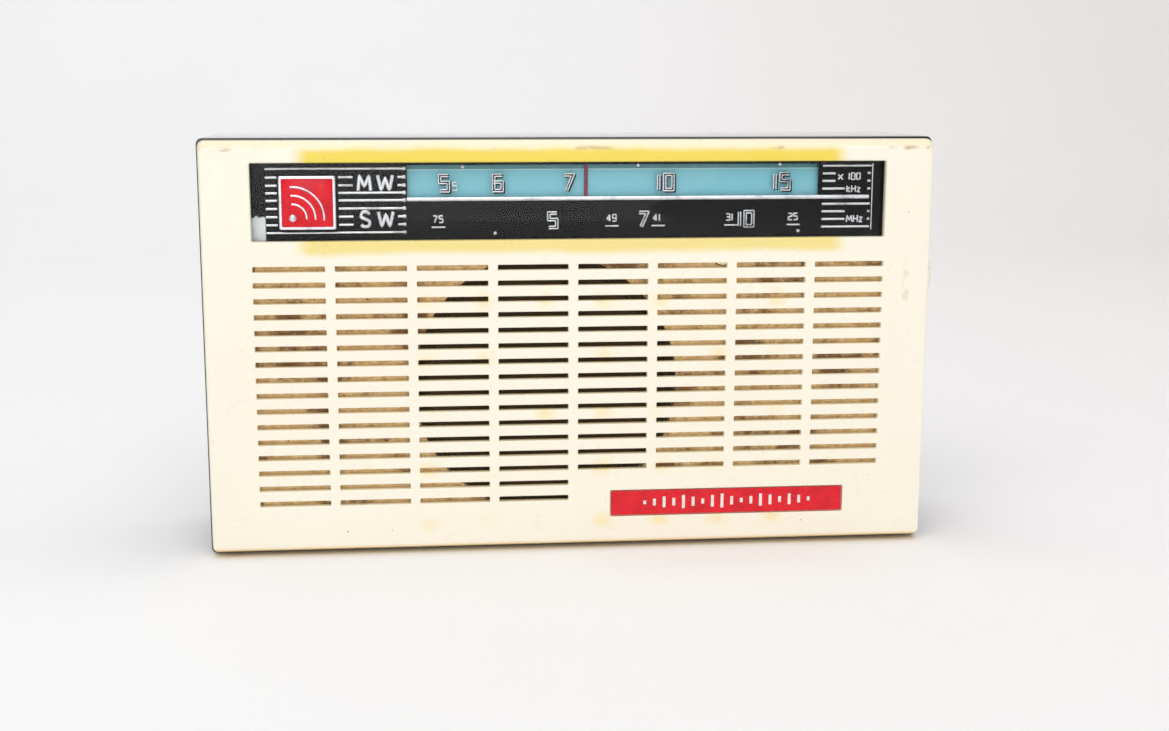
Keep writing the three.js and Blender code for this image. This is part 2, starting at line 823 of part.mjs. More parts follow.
function batteryTray() {
  const { x0, x1, y0, z0, z1 } = BATTERY;
  const thickness = 1.2;
  const left = x0 - 0.5;
  const right = x1 + 0.5;
  const floorBack = y0 - 0.4;
  const floorFront = floorBack - thickness;
  const lower = z0 - 0.4;
  const wallBack = 9;
  const floor = box(left - thickness, right + thickness, floorFront, floorBack, lower - thickness, z1 - 2);
  const sides = [
    box(left - thickness, left, floorFront, wallBack, lower - thickness, z1 - 12),
    box(right, right + thickness, floorFront, wallBack, lower - thickness, z1 - 12),
    box(left - thickness, right + thickness, floorFront, wallBack, lower - thickness, lower),
  ];
  const legs = [
    [-70, 18],
    [-70, 46],
    [-58, 18],
    [-58, 46],
  ].map(([x, z]) => rod(x, z, 2.2, BAFFLE.back + GAP, floorFront + 0.2, 12));
  return join(floor, ...sides, ...legs);
}

const BATTERY_X = (BATTERY.x0 + BATTERY.x1) / 2;
const BATTERY_Y = (BATTERY.y0 + BATTERY.y1) / 2;

function battery() {
  const { x0, x1, y0, y1, z0, z1, studSpacing } = BATTERY;
  const body = alongZ(roundedRectangle(x0, x1, y0, y1, 1.5), z0, z1, 3);
  const stud = (x, radius) => {
    const geometry = new THREE.CylinderGeometry(radius, radius, 2.2, 16);
    return solid(geometry.rotateX(Math.PI / 2).translate(x, BATTERY_Y, z1 + 0.9));
  };
  return join(body, stud(BATTERY_X - studSpacing / 2, 2.8), stud(BATTERY_X + studSpacing / 2, 3.8));
}

function batterySnap() {
  const base = BATTERY.z1 + 2.3;
  const shape = roundedRectangle(BATTERY_X - 12.5, BATTERY_X + 12.5, BATTERY_Y - 5.5, BATTERY_Y + 5.5, 3);
  return alongZ(shape, base, base + 2.4, 3);
}

const SNAP_TOP = BATTERY.z1 + 2.3 + 2.4;
const LEADS = {
  red: [
    [-64, 8, SNAP_TOP + GAP],
    [-63.4, 8, 63],
    [-56, 7.2, 68],
    [-44, 6.2, 69.6],
    [-26, 5.4, 70.2],
    [-6, 5.2, 69.8],
    [14, 5.6, 70],
    [26, 6.8, 69.2],
    [33, 8.2, 67.6],
    [34.6, 7.8, 66.8],
    [35.2, BOARD.back + GAP, 66.4],
  ],
  black: [
    [-60, 8, SNAP_TOP + GAP],
    [-59.2, 8, 60.5],
    [-54, 7.4, 64.6],
    [-45, 6.4, 66.8],
    [-27, 5.6, 67.6],
    [-6, 5.4, 67],
    [14, 5.8, 67.4],
    [25, 7, 66.6],
    [32, 8.4, 64.8],
    [34, 7.8, 63.8],
    [34.6, BOARD.back + GAP, 63.2],
  ],
};

function lead(route) {
  const sides = 8;
  const radius = 0.6;
  const corners = Array.from({ length: sides }, (_, i) => {
    const angle = (2 * Math.PI * i) / sides;
    return [radius * Math.cos(angle), radius * Math.sin(angle)];
  });
  const extrudePath = new THREE.CatmullRomCurve3(route.map((point) => new THREE.Vector3(...point)));
  return solid(new THREE.ExtrudeGeometry(polygon(corners), { steps: 22, extrudePath }));
}

// ---------------------------------------------------------------- sockets, switch, screw

// A socket on the X axis, its mouth towards -X.
function socket(boreRadius) {
  const body = turned(
    [
      [0, 0],
      [4.2, 0],
      [4.2, 7.7],
      [2.9, 7.7],
      [2.9, 9.6],
      [0, 9.6],
    ],
    12,
  );
  return cut(body, rod(0, 0, boreRadius, 2, 11, 10)).rotate([0, 0, 90]);
}

function bandSwitchBody() {
  const body = box(-4, 10.5, BOARD.back + GAP, 11, -4, 4);
  const slot = box(-2, SWITCH.travel + 2, 8, 12, -1.6, 1.6);
  return cut(body, slot);
}

function bandSwitchKnob() {
  const stem = box(-1.5, 1.5, 8.4, 18, -1.2, 1.2);
  const cap = box(-2, 2, 16.8, 19.7, -2, 2);
  return join(stem, cap);
}

function coverPillar() {
  const radius = 3.5;
  const { shankRadius } = COVER_SCREW;
  return cut(
    rod(0, 0, radius, BRACKET.back + GAP, 14.6, 6),
    rod(0, 0, shankRadius + 0.4, 2, 16),
  );
}

function coverScrew() {
  const { headRadius, shankRadius } = COVER_SCREW;
  const body = turned(
    [
      [0, 3.5],
      [shankRadius, 3.5],
      [shankRadius, 17.9],
      [headRadius, 17.9],
      [headRadius, 19.5],
      [headRadius - 0.4, 19.8],
      [0, 19.8],
    ],
    20,
  );
  return cut(body, box(-headRadius, headRadius, 18.7, 21, -0.7, 0.7));
}

// ---------------------------------------------------------------- assembly

function group(...parts) {
  const made = new THREE.Group();
  made.add(...parts);
  return made;
}

const onBoard = ([x, z]) => [x, BOARD.back, z];
const atTuning = [TUNING.x, 0, TUNING.z];
const atVolume = [VOLUME.x, 0, VOLUME.z];
const atSpeaker = [SPEAKER.x, 0, SPEAKER.z];

const CANS = { if_can_1: [39, 56], if_can_2: [39, 42], if_can_3: [39, 28], oscillator_can: [56, 58] };
const TRANSISTORS = [
  [49, 47.5],
  [50, 36],
  [50, 24],
  [59.5, 46],
  [60, 12],
  [48, 12],
];

const housing = group(
  mesh("front_panel", frontPanel(), "ivory"),
  mesh("name_badge", nameBadge(), "red"),
);

const dial = group(
  mesh("dial_lens", dialLens(), "clear"),
  mesh("dial_mask", dialMask(), "black"),
  mesh("dial_backing", dialBacking(), "teal"),
  mesh("emblem_plate", emblemPlate(), "chrome"),
);

const drive = group(
  mesh("drive_bracket", driveBracket(), "steel"),
  mesh("guide_rail", guideRail(), "steel"),
  mesh("dial_cord", dialCord(), "cord"),
  mesh("pointer", pointer(), "maroon", [POINTER_REST_X, 0, 0]),
  mesh("tuning_drum", tuningDrum(), "brass", atTuning),
  mesh("tuning_wheel", tuningWheel(), "ivory", atTuning),
  mesh("idler_left", idler(), "nylon", [LEFT_IDLER.x, 0, LEFT_IDLER.z]),
  mesh("idler_upper_right", idler(), "nylon", [UPPER_IDLER.x, 0, UPPER_IDLER.z]),
  mesh("idler_lower_right", idler(), "nylon", [LOWER_IDLER.x, 0, LOWER_IDLER.z]),
  mesh("gang_frame", gangFrame(), "aluminium", atTuning),
  mesh("gang_stator", gangStator(), "aluminium", atTuning),
  mesh("gang_rotor", gangRotor(), "aluminium", atTuning),
  ...Object.entries(BRACKET_BOSSES).map(([side, [x, z]]) =>
    mesh("bracket_screw_" + side, screw(), "steel", [x, BRACKET.back, z]),
  ),
);

const loudspeaker = group(
  mesh("baffle_board", baffleBoard(), "tan"),
  mesh("speaker_basket", speakerBasket(), "steel", atSpeaker),
  mesh("speaker_cone", speakerCone(), "paper", atSpeaker),
  mesh("speaker_magnet", speakerMagnet(), "magnet", atSpeaker),
);

const electronics = group(
  mesh("circuit_board", circuitBoard(), "laminate"),
  ...BOARD_PILLARS.map((place, i) => mesh("board_screw_" + (i + 1), screw(), "steel", onBoard(place))),
  ...Object.entries(CANS).map(([name, place]) => mesh(name, coilCan(), "aluminium", onBoard(place))),
  ...TRANSISTORS.map((place, i) =>
    mesh("transistor_" + (i + 1), transistor(), "aluminium", onBoard(place)),
  ),
  mesh("electrolytic_capacitor", electrolytic(), "aluminium", onBoard([60, 30])),
  mesh("driver_transformer", transformer(), "steel", onBoard([72.4, 24])),
  mesh("output_transformer", transformer(), "steel", onBoard([73.4, 44])),
  mesh("volume_pot", volumePot(), "laminate", atVolume),
  mesh("volume_wheel", volumeWheel(), "ivory", atVolume),
  mesh("band_switch_body", bandSwitchBody(), "steel", [SWITCH.x, 0, SWITCH.z]),
  mesh("band_switch_knob", bandSwitchKnob(), "black", [SWITCH.x, 0, SWITCH.z]),
  mesh("earphone_socket", socket(1.8), "brass", [-75, SOCKET_Y, SOCKETS_Z.earphone]),
  mesh("aerial_socket", socket(2), "brass", [-75, SOCKET_Y, SOCKETS_Z.aerial]),
);

const aerial = group(
  mesh("ferrite_rod", ferriteRod(), "ferrite", [0, ROD.y, ROD.z]),
  mesh("mw_coil", rodCoil(30), "copper", [40, ROD.y, ROD.z]),
  mesh("sw_coil", rodCoil(12), "copper", [-36, ROD.y, ROD.z]),
  mesh("rod_holder_left", rodHolder(), "nylon", [-58, ROD.y, ROD.z]),
  mesh("rod_holder_right", rodHolder(), "nylon", [14, ROD.y, ROD.z]),
);

const power = group(
  mesh("battery_tray", batteryTray(), "black"),
  mesh("battery", battery(), "battery"),
  mesh("battery_snap", batterySnap(), "black"),
  mesh("battery_lead_red", lead(LEADS.red), "redWire"),
  mesh("battery_lead_black", lead(LEADS.black), "blackWire"),
);

const cover = group(
  mesh("rear_case", rearCase(), "black"),
  mesh("cover_screw", coverScrew(), "chrome", [COVER_SCREW.x, 0, COVER_SCREW.z]),
  mesh("cover_pillar", coverPillar(), "brass", [COVER_SCREW.x, 0, COVER_SCREW.z]),
);

const radio = group(housing, dial, drive, loudspeaker, electronics, aerial, power, cover);

export default radio;
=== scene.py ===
"""Looks for a two-band transistor portable radio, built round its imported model."""

import math
import random

import bmesh
import bpy
from mathutils import Matrix, Vector


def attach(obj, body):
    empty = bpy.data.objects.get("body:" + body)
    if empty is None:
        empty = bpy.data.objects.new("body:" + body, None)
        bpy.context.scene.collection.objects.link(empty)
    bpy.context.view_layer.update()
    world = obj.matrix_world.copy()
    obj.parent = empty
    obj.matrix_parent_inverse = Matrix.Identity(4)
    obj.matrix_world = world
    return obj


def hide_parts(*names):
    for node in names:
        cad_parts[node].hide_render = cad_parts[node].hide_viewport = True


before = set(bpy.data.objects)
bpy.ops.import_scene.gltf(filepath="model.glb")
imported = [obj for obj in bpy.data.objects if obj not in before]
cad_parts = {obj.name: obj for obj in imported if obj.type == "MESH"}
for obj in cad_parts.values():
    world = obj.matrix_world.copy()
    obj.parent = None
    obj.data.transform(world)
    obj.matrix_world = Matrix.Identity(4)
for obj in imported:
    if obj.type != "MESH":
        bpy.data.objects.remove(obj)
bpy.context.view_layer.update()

MM = 0.001
FRONT = "front_assembly"

# Sizes are in millimetres: x to the right, y to the back, z up, from the middle of the bottom edge.
# Mesh functions take millimetres too, and turn them into metres as they make the mesh.


# ------------------------------------------------------------------ mesh tools

def new_object(name, data):
    piece = bpy.data.objects.new(name, data)
    bpy.context.scene.collection.objects.link(piece)
    return piece


def mesh_object(name, vertices, faces):
    """A mesh from points in millimetres."""
    data = bpy.data.meshes.new(name)
    data.from_pydata([Vector(v) * MM for v in vertices], [], faces)
    data.validate()
    return new_object(name, data)


def apply_modifiers(piece):
    bpy.context.view_layer.update()
    graph = bpy.context.evaluated_depsgraph_get()
    made = bpy.data.meshes.new_from_object(piece.evaluated_get(graph))
    piece.modifiers.clear()
    piece.data = made
    return piece


def smooth(piece, angle=35):
    piece.data.shade_smooth()
    piece.data.set_sharp_from_angle(angle=math.radians(angle))
    return piece


def clean(piece, distance=0.002):
    """Merges points closer than `distance` millimetres and turns every face outwards."""
    work = bmesh.new()
    work.from_mesh(piece.data)
    bmesh.ops.remove_doubles(work, verts=work.verts, dist=distance * MM)
    bmesh.ops.recalc_face_normals(work, faces=work.faces)
    work.to_mesh(piece.data)
    work.free()
    return piece


def bevel(piece, width, segments=2, angle=30, smooth_angle=35):
    """Rounds every edge sharper than `angle` degrees."""
    rounding = piece.modifiers.new("rounded_edges", "BEVEL")
    rounding.width = width * MM
    rounding.segments = segments
    rounding.limit_method = "ANGLE"
    rounding.angle_limit = math.radians(angle)
    rounding.use_clamp_overlap = True
    apply_modifiers(piece)
    return smooth(piece, smooth_angle)


def box_data(x0, x1, y0, y1, z0, z1):
    corners = [(x, y, z) for x in (x0, x1) for y in (y0, y1) for z in (z0, z1)]
    faces = [(0, 1, 3, 2), (4, 6, 7, 5), (0, 4, 5, 1), (2, 3, 7, 6), (0, 2, 6, 4), (1, 5, 7, 3)]
    return corners, faces


def several(name, parts):
    """One object from several (points, faces) pairs that do not touch each other."""
    vertices = []
    faces = []
    for part_vertices, part_faces in parts:
        start = len(vertices)
        vertices += part_vertices
        faces += [tuple(i + start for i in face) for face in part_faces]
    return mesh_object(name, vertices, faces)


def box(name, x0, x1, y0, y1, z0, z1):
    return several(name, [box_data(x0, x1, y0, y1, z0, z1)])


def boolean(piece, operation, tool):
    """Cuts `tool` out of the piece, or joins it on, and removes the tool."""
    step = piece.modifiers.new("boolean", "BOOLEAN")
    step.operation = operation
    step.solver = "EXACT"
    step.object = tool
    apply_modifiers(piece)
    bpy.data.objects.remove(tool)
    return piece


def cut(piece, *tools):
    for tool in tools:
        boolean(piece, "DIFFERENCE", tool)
    return piece


def join(piece, *tools):
    for tool in tools:
        boolean(piece, "UNION", tool)
    return piece


def loft_data(rings):
    """A closed solid through rings of points that have the same number of points each."""
    count = len(rings[0])
    vertices = [point for level in rings for point in level]
    faces = [tuple(range(count)), tuple(range(len(vertices) - 1, len(vertices) - count - 1, -1))]
    for level in range(len(rings) - 1):
        for i in range(count):
            j = (i + 1) % count
            lower = level * count
            faces.append((lower + i, lower + count + i, lower + count + j, lower + j))
    return vertices, faces


def loft(name, rings):
    return clean(mesh_object(name, *loft_data(rings)))


def loft_group(name, solids):
    """One object from several solids of rings, to cut with in one step."""
    return clean(several(name, [loft_data(rings) for rings in solids]))


def plate(name, x0, x1, z0, z1, radius, *levels):
    """A rounded rectangle, straight from the first to the last of the `levels` in y."""
    return loft(name, [ring(x0, x1, z0, z1, radius, y) for y in levels])


def rounded_rectangle(x0, x1, z0, z1, radius, steps=6):
    """Corner arcs of a rectangle, as (x, z) pairs."""
    centres = [(x1 - radius, z0 + radius), (x1 - radius, z1 - radius)]
    centres += [(x0 + radius, z1 - radius), (x0 + radius, z0 + radius)]
    outline = []
    for corner, (x, z) in enumerate(centres):
        for step in range(steps + 1):
            turn = math.pi / 2 * (corner - 1 + step / steps)
            outline.append((x + radius * math.cos(turn), z + radius * math.sin(turn)))
    return outline


def ring(x0, x1, z0, z1, radius, y, steps=6):
    return [(x, y, z) for x, z in rounded_rectangle(x0, x1, z0, z1, radius, steps)]


def slab(name, x0, x1, y0, y1, z0, z1, radius=0.5, edge=0.2):
    """A rounded plate facing -Y with softened edges."""
    piece = loft(name, [ring(x0, x1, z0, z1, radius, y0), ring(x0, x1, z0, z1, radius, y1)])
    return bevel(piece, edge, 3)


def turned(name, profile, sides=64, centre=(0, 0, 0), axis="Y"):
    """A profile of (radius, distance along the axis) pairs, turned about an axis through `centre`.

    The profile starts and ends on the axis, or closes on itself.
    """
    vertices = []
    rows = []
    for radius, along in profile:
        if radius < 1e-6:
            rows.append([len(vertices)] * sides)
            vertices.append((0, along, 0))
            continue
        rows.append(list(range(len(vertices), len(vertices) + sides)))
        for i in range(sides):
            turn = 2 * math.pi * i / sides
            vertices.append((radius * math.cos(turn), along, radius * math.sin(turn)))
    faces = []
    for near, far in zip(rows, rows[1:]):
        for i in range(sides):
            j = (i + 1) % sides
            face = list(dict.fromkeys((near[i], near[j], far[j], far[i])))
            if len(face) > 2:
                faces.append(tuple(face))
    if axis == "X":
        vertices = [(y, -x, z) for x, y, z in vertices]
    if axis == "Z":
        vertices = [(x, -z, y) for x, y, z in vertices]
    moved = [tuple(a + b for a, b in zip(vertex, centre)) for vertex in vertices]
    return smooth(clean(mesh_object(name, moved, faces)))


def along_x(name, profile, sides, y, z):
    """A profile of (radius, x) pairs, turned about an axis that runs from left to right."""
    return turned(name, profile, sides, (0, y, z), "X")


def on_axis(name, profile, sides, axis):
    """A profile of (radius, y) pairs, turned about an axis that runs from front to back."""
    x, z = axis
    return turned(name, profile, sides, (x, 0, z))


def rod_data(x, z, radius, y0, y1, sides=24):
    vertices = []
    for y in (y0, y1):
        for i in range(sides):
            turn = 2 * math.pi * i / sides
            vertices.append((x + radius * math.cos(turn), y, z + radius * math.sin(turn)))
    faces = [tuple(range(sides)), tuple(range(2 * sides - 1, sides - 1, -1))]
    for i in range(sides):
        j = (i + 1) % sides
        faces.append((i, i + sides, j + sides, j))
    return vertices, faces


def rods(name, places):
    """One object from several round rods, each (x, z, radius, y0, y1, sides)."""
    return clean(several(name, [rod_data(*place) for place in places]))


def rod(name, *place):
    return rods(name, [place])


def hold_width(path, radius):
    """Adds points just before and after each corner, so that a stroke keeps its width between them."""
    held = [tuple(path[0])]
    for before, corner, after in zip(path, path[1:], path[2:]):
        before, corner, after = Vector(before), Vector(corner), Vector(after)
        back, ahead = before - corner, after - corner
        if back.length > 0 and ahead.length > 0 and back.angle(ahead) < math.radians(160):
            near = min(radius * 1.2, back.length * 0.4)
            far = min(radius * 1.2, ahead.length * 0.4)
            held.append(tuple(corner + back.normalized() * near))
            held.append(tuple(corner + (back.normalized() * near + ahead.normalized() * far) * 0.12))
            held.append(tuple(corner + ahead.normalized() * far))
        else:
            held.append(tuple(corner))
    held.append(tuple(path[-1]))
    return held


def tube(name, paths, radius, flatten=1.0, y=0.0, resolution=3, closed=False):
    """Round strokes along paths of points in millimetres, as a mesh.

    A path of (x, z) pairs lies in the plane y, and `flatten` squashes it towards that plane.
    """
    paths = [hold_width(path, radius) for path in paths]
    curve = bpy.data.curves.new(name, "CURVE")
    curve.dimensions = "3D"
    curve.bevel_depth = radius * MM
    curve.bevel_resolution = resolution
    curve.use_fill_caps = True
    for path in paths:
        spline = curve.splines.new("POLY")
        spline.points.add(len(path) - 1)
        spline.use_cyclic_u = closed
        for point, place in zip(spline.points, path):
            x, z = (place[0], place[-1])
            along = place[1] if len(place) == 3 else 0
            point.co = (x * MM, along * MM, z * MM, 1)
    piece = new_object(name, curve)
    bpy.context.view_layer.update()
    graph = bpy.context.evaluated_depsgraph_get()
    data = bpy.data.meshes.new_from_object(piece.evaluated_get(graph))
    bpy.data.objects.remove(piece)
    bpy.data.curves.remove(curve)
    data.transform(Matrix.Translation((0, y * MM, 0)) @ Matrix.Diagonal((1, flatten, 1, 1)))
    made = new_object(name, data)
    return smooth(clean(made, 0.0005), 50)


def studs(name, places, radius, y):
    """Low round domes at (x, z) places, standing out from the plane `y`."""
    section = [(0, y - radius * 0.36), (radius * 0.5, y - radius * 0.3), (radius * 0.85, y - radius * 0.14)]
    section += [(radius, y), (0, y)]
    return merge(name, *[turned(name, section, 24, (x, 0, z)) for x, z in places])


def merge(name, *pieces):
    """One object from several."""
    work = bmesh.new()
    for piece in pieces:
        work.from_mesh(piece.data)
    data = bpy.data.meshes.new(name)
    work.to_mesh(data)
    work.free()
    for piece in pieces:
        bpy.data.objects.remove(piece)
    return smooth(new_object(name, data))


def finish_piece(piece, material, *stands_for, body=FRONT, slot=None):
    """Gives a piece its material and its body, and hides the CAD nodes it stands for. The slot argument is
    not used.
    """
    piece.data.materials.clear()
    piece.data.materials.append(material)
    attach(piece, body)
    if stands_for:
        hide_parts(*stands_for)
    return piece


def round_path(points, radius, steps=6):
    """A polyline with its inner corners turned into arcs of about `radius` millimetres."""
    path = [Vector(points[0])]
    for before, corner, after in zip(points, points[1:], points[2:]):
        before, corner, after = Vector(before), Vector(corner), Vector(after)
        back = min(radius, (corner - before).length / 2)
        ahead = min(radius, (after - corner).length / 2)
        start = corner + (before - corner).normalized() * back
        end = corner + (after - corner).normalized() * ahead
        for step in range(steps + 1):
            t = step / steps
            path.append(start * (1 - t) ** 2 + corner * 2 * t * (1 - t) + end * t ** 2)
    path.append(Vector(points[-1]))
    return path


# ------------------------------------------------------------------ material tools

def linear(red, green, blue):
    """A colour given as sRGB, 0 to 255, in the renderer's linear values."""
    def channel(value):
        value /= 255
        return value / 12.92 if value <= 0.04045 else ((value + 0.055) / 1.055) ** 2.4
    return (channel(red), channel(green), channel(blue), 1)


class Shader:
    """A material's node tree, with places in millimetres of the resting object."""

    def __init__(self, name, colour, roughness=0.4, metallic=0.0, **settings):
        self.material = bpy.data.materials.new(name)
        self.material.use_nodes = True
        self.tree = self.material.node_tree
        self.surface = self.tree.nodes["Principled BSDF"]
        self.surface.inputs["Base Color"].default_value = colour
        self.surface.inputs["Roughness"].default_value = roughness
        self.surface.inputs["Metallic"].default_value = metallic
        for socket, value in settings.items():
            label = socket.replace("_", " ").title().replace("Ior", "IOR")
            self.surface.inputs[label].default_value = value
        coordinates = self.add("ShaderNodeTexCoord")
        scale = self.add("ShaderNodeVectorMath", operation="SCALE")
        scale.inputs["Scale"].default_value = 1 / MM
        self.tree.links.new(coordinates.outputs["Object"], scale.inputs[0])
        self.place = scale.outputs[0]
        split = self.add("ShaderNodeSeparateXYZ")
        self.tree.links.new(self.place, split.inputs[0])
        self.x, self.y, self.z = split.outputs

    def add(self, kind, **settings):
        node = self.tree.nodes.new(kind)
        for key, value in settings.items():
            setattr(node, key, value)
        return node

    def feed(self, socket, value):
        if isinstance(value, bpy.types.NodeSocket):
            self.tree.links.new(value, socket)
        else:
            socket.default_value = value

    def math(self, operation, *values, clamp=False):
        node = self.add("ShaderNodeMath", operation=operation, use_clamp=clamp)
        for socket, value in zip(node.inputs, values):
            self.feed(socket, value)
        return node.outputs[0]

    def times(self, first, second):
        return self.math("MULTIPLY", first, second)

    def stretch(self, scale):
        """The place, with each axis scaled, for grain that runs one way."""
        node = self.add("ShaderNodeVectorMath", operation="MULTIPLY")
        self.feed(node.inputs[0], self.place)
        node.inputs[1].default_value = scale
        return node.outputs[0]

    def noise(self, size, detail=3.0, roughness=0.5, place=None, distortion=0.0):
        """Noise from 0 to 1 whose blobs are about `size` millimetres across."""
        node = self.add("ShaderNodeTexNoise")
        self.feed(node.inputs["Vector"], place or self.place)
        node.inputs["Scale"].default_value = 1 / size
        node.inputs["Detail"].default_value = detail
        node.inputs["Roughness"].default_value = roughness
        node.inputs["Distortion"].default_value = distortion
        return node.outputs["Fac"]

    def cells(self, size, feature="DISTANCE_TO_EDGE", place=None):
        node = self.add("ShaderNodeTexVoronoi", feature=feature)
        self.feed(node.inputs["Vector"], place or self.place)
        node.inputs["Scale"].default_value = 1 / size
        return node.outputs["Distance"]

    def rise(self, value, low, high, bottom=0.0, top=1.0):
        """A smooth step from `bottom` below `low` to `top` above `high`."""
        node = self.add("ShaderNodeMapRange", interpolation_type="SMOOTHSTEP")
        self.feed(node.inputs["Value"], value)
        node.inputs["From Min"].default_value = low
        node.inputs["From Max"].default_value = high
        node.inputs["To Min"].default_value = bottom
        node.inputs["To Max"].default_value = top
        return node.outputs["Result"]

    def band(self, value, low, high, soft):
        """1 between `low` and `high`, fading to 0 over `soft` outside them."""
        upward = self.rise(value, low - soft, low)
        downward = self.rise(value, high, high + soft, 1.0, 0.0)
        return self.times(upward, downward)

    def patch(self, x0, x1, z0, z1, soft):
        """1 inside a rectangle seen from the front, fading over `soft` outside it."""
        return self.times(self.band(self.x, x0, x1, soft), self.band(self.z, z0, z1, soft))

    def spot(self, x, z, width, height):
        """1 in the middle of an oval seen from the front, fading to 0 at its edge."""
        across = self.math("DIVIDE", self.math("SUBTRACT", self.x, x), width)
        up = self.math("DIVIDE", self.math("SUBTRACT", self.z, z), height)
        square = self.math("ADD", self.math("POWER", across, 2.0), self.math("POWER", up, 2.0))
        return self.rise(square, 0.0, 1.0, 1.0, 0.0)

    def mix(self, share, first, second):
        node = self.add("ShaderNodeMix", data_type="RGBA")
        self.feed(node.inputs["Factor"], share)
        self.feed(node.inputs[6], first)
        self.feed(node.inputs[7], second)
        return node.outputs[2]

    def colour(self, value):
        self.feed(self.surface.inputs["Base Color"], value)

    def roughness(self, value):
        self.feed(self.surface.inputs["Roughness"], value)

    def bump(self, height, depth, strength=1.0):
        """Surface relief: `height` runs from 0 to 1 and `depth` is its size in millimetres."""
        node = self.add("ShaderNodeBump")
        node.inputs["Strength"].default_value = strength
        node.inputs["Distance"].default_value = depth * MM
        self.feed(node.inputs["Height"], height)
        self.tree.links.new(node.outputs["Normal"], self.surface.inputs["Normal"])


# ------------------------------------------------------------------ materials

IVORY = linear(247, 238, 214)
HALO_YELLOW = linear(237, 211, 72)
DIRT_BROWN = linear(112, 74, 34)
BLOTS = {"x": -6.8, "z": 47.9, "pitch_x": 13.95, "pitch_z": 13.6}


def dial_halo(s):
    """The yellow glow above and below the dial: strongest on top, with a wandering edge."""
    wandering_z = s.math("ADD", s.z, s.math("MULTIPLY_ADD", s.noise(11, detail=2), 1.6, -0.8))
    halo = s.times(s.band(s.x, -61, 61.5, 5), s.band(wandering_z, 74.2, 96.2, 2.4))
    front_only = s.rise(s.y, -18.6, -17.2, 1.0, 0.0)
    fading = s.rise(s.math("ADD", s.z, s.times(s.noise(20, detail=2), 8.0)), 80, 96, 0.72, 1.0)
    return s.times(s.times(halo, front_only), fading)


def grille_blots(s):
    """Faint round blots in an even pattern over the grille."""
    blot_x = s.math("PINGPONG", s.math("ADD", s.x, BLOTS["pitch_x"] - BLOTS["x"]), BLOTS["pitch_x"] / 2)
    blot_z = s.math("PINGPONG", s.math("ADD", s.z, BLOTS["pitch_z"] - BLOTS["z"]), BLOTS["pitch_z"] / 2)
    near = s.times(s.rise(blot_x, 0.0, 3.6, 1.0, 0.0), s.rise(blot_z, 0.0, 3.2, 1.0, 0.0))
    uneven = s.rise(s.noise(17, detail=1), 0.35, 0.65)
    return s.times(near, s.times(s.patch(-54, 56, 7, 68, 3), uneven))


def age_marks_and_shade(s, base):
    """Lays the front panel's age marks over its cream colour, one after another, then a painted shade on its
    sloping edge.
    """
    rubbed = s.times(s.spot(80.5, 64, 1.3, 8), s.rise(s.noise(2.2), 0.45, 0.7))
    lower_edge = s.times(s.rise(s.z, 1.2, 3.0, 1.0, 0.0), s.rise(s.noise(12), 0.15, 0.45))
    marks = [(dial_halo(s), 1.0, HALO_YELLOW), (grille_blots(s), 0.5, linear(246, 217, 120)),
             (rubbed, 0.5, linear(206, 182, 116)), (lower_edge, 0.85, linear(232, 184, 72))]
    for x, reach in ((-81, 3.2), (79.5, 5.0), (84.2, 1.4)):
        smear = s.times(s.spot(x, 97.3, reach, 0.7), s.rise(s.noise(2.6, detail=4), 0.35, 0.62))
        marks.append((smear, 0.65, linear(172, 130, 30)))
    crease_dirt = s.times(s.band(s.z, 97.2, 97.7, 0.35), s.rise(s.noise(10, detail=4), 0.56, 0.68))
    # painted shade: the sloping edge between the face and the seam is toned down to yellow, so that it is not
    # lit brighter than the face
    painted_border_shade = s.times(s.rise(s.y, -19.75, -19.3), s.rise(s.y, -15.2, -15.0, 1.0, 0.0))
    marks += [(crease_dirt, 0.55, linear(160, 126, 44)), (painted_border_shade, 0.45, linear(248, 230, 178))]
    for mark, strength, tone in marks:
        base = s.mix(s.times(mark, strength), base, tone)
    return base


def ivory_material(name, stained_and_shaded):
    """Cream moulding with brown specks; the front panel's has stains as well, and a painted shade on its
    sloping edge.
    """
    s = Shader(name, IVORY, roughness=0.3, coat_weight=0.15, coat_roughness=0.1)
    base = s.mix(s.noise(45, detail=2), linear(249, 243, 227), linear(245, 237, 217))
    if stained_and_shaded:
        base = age_marks_and_shade(s, base)
    specks = s.rise(s.noise(1.1, detail=1), 0.8, 0.83)
    s.colour(s.mix(s.times(specks, 0.6), base, DIRT_BROWN))
    s.roughness(s.rise(s.noise(6, detail=5), 0.3, 0.7, 0.27, 0.35))
    s.bump(s.noise(0.8, detail=4), 0.012, 0.5)
    return s.material


def black_plastic_material():
    """Gloss black moulding with scuffs and a little dust."""
    s = Shader("black_plastic", linear(26, 23, 26), roughness=0.16, coat_weight=0.8, coat_roughness=0.04)
    scuffs = s.rise(s.noise(5, detail=6, roughness=0.65), 0.42, 0.75, 0.07, 0.26)
    s.roughness(scuffs)
    dust = s.rise(s.noise(2.4, detail=5), 0.62, 0.8)
    s.colour(s.mix(s.times(dust, 0.16), linear(24, 21, 24), linear(120, 112, 104)))
    s.bump(s.noise(1.6, detail=4), 0.006, 0.35)
    return s.material


def metal_material(name, colour, roughness, grain=(0.3, 8.0, 8.0), tarnish=None, depth=0.006):
    """Bare or plated metal with drawn grain along one axis and patches of tarnish."""
    s = Shader(name, colour, roughness=roughness, metallic=1.0)
    lines = s.noise(1.0, detail=5, place=s.stretch(grain))
    s.roughness(s.rise(lines, 0.25, 0.75, roughness * 0.75, min(1.0, roughness * 1.5)))
    if tarnish:
        patches = s.rise(s.noise(4, detail=5, roughness=0.6), 0.5, 0.75)
        s.colour(s.mix(s.times(patches, 0.6), colour, tarnish))
    s.bump(lines, depth, 0.5)
    return s.material


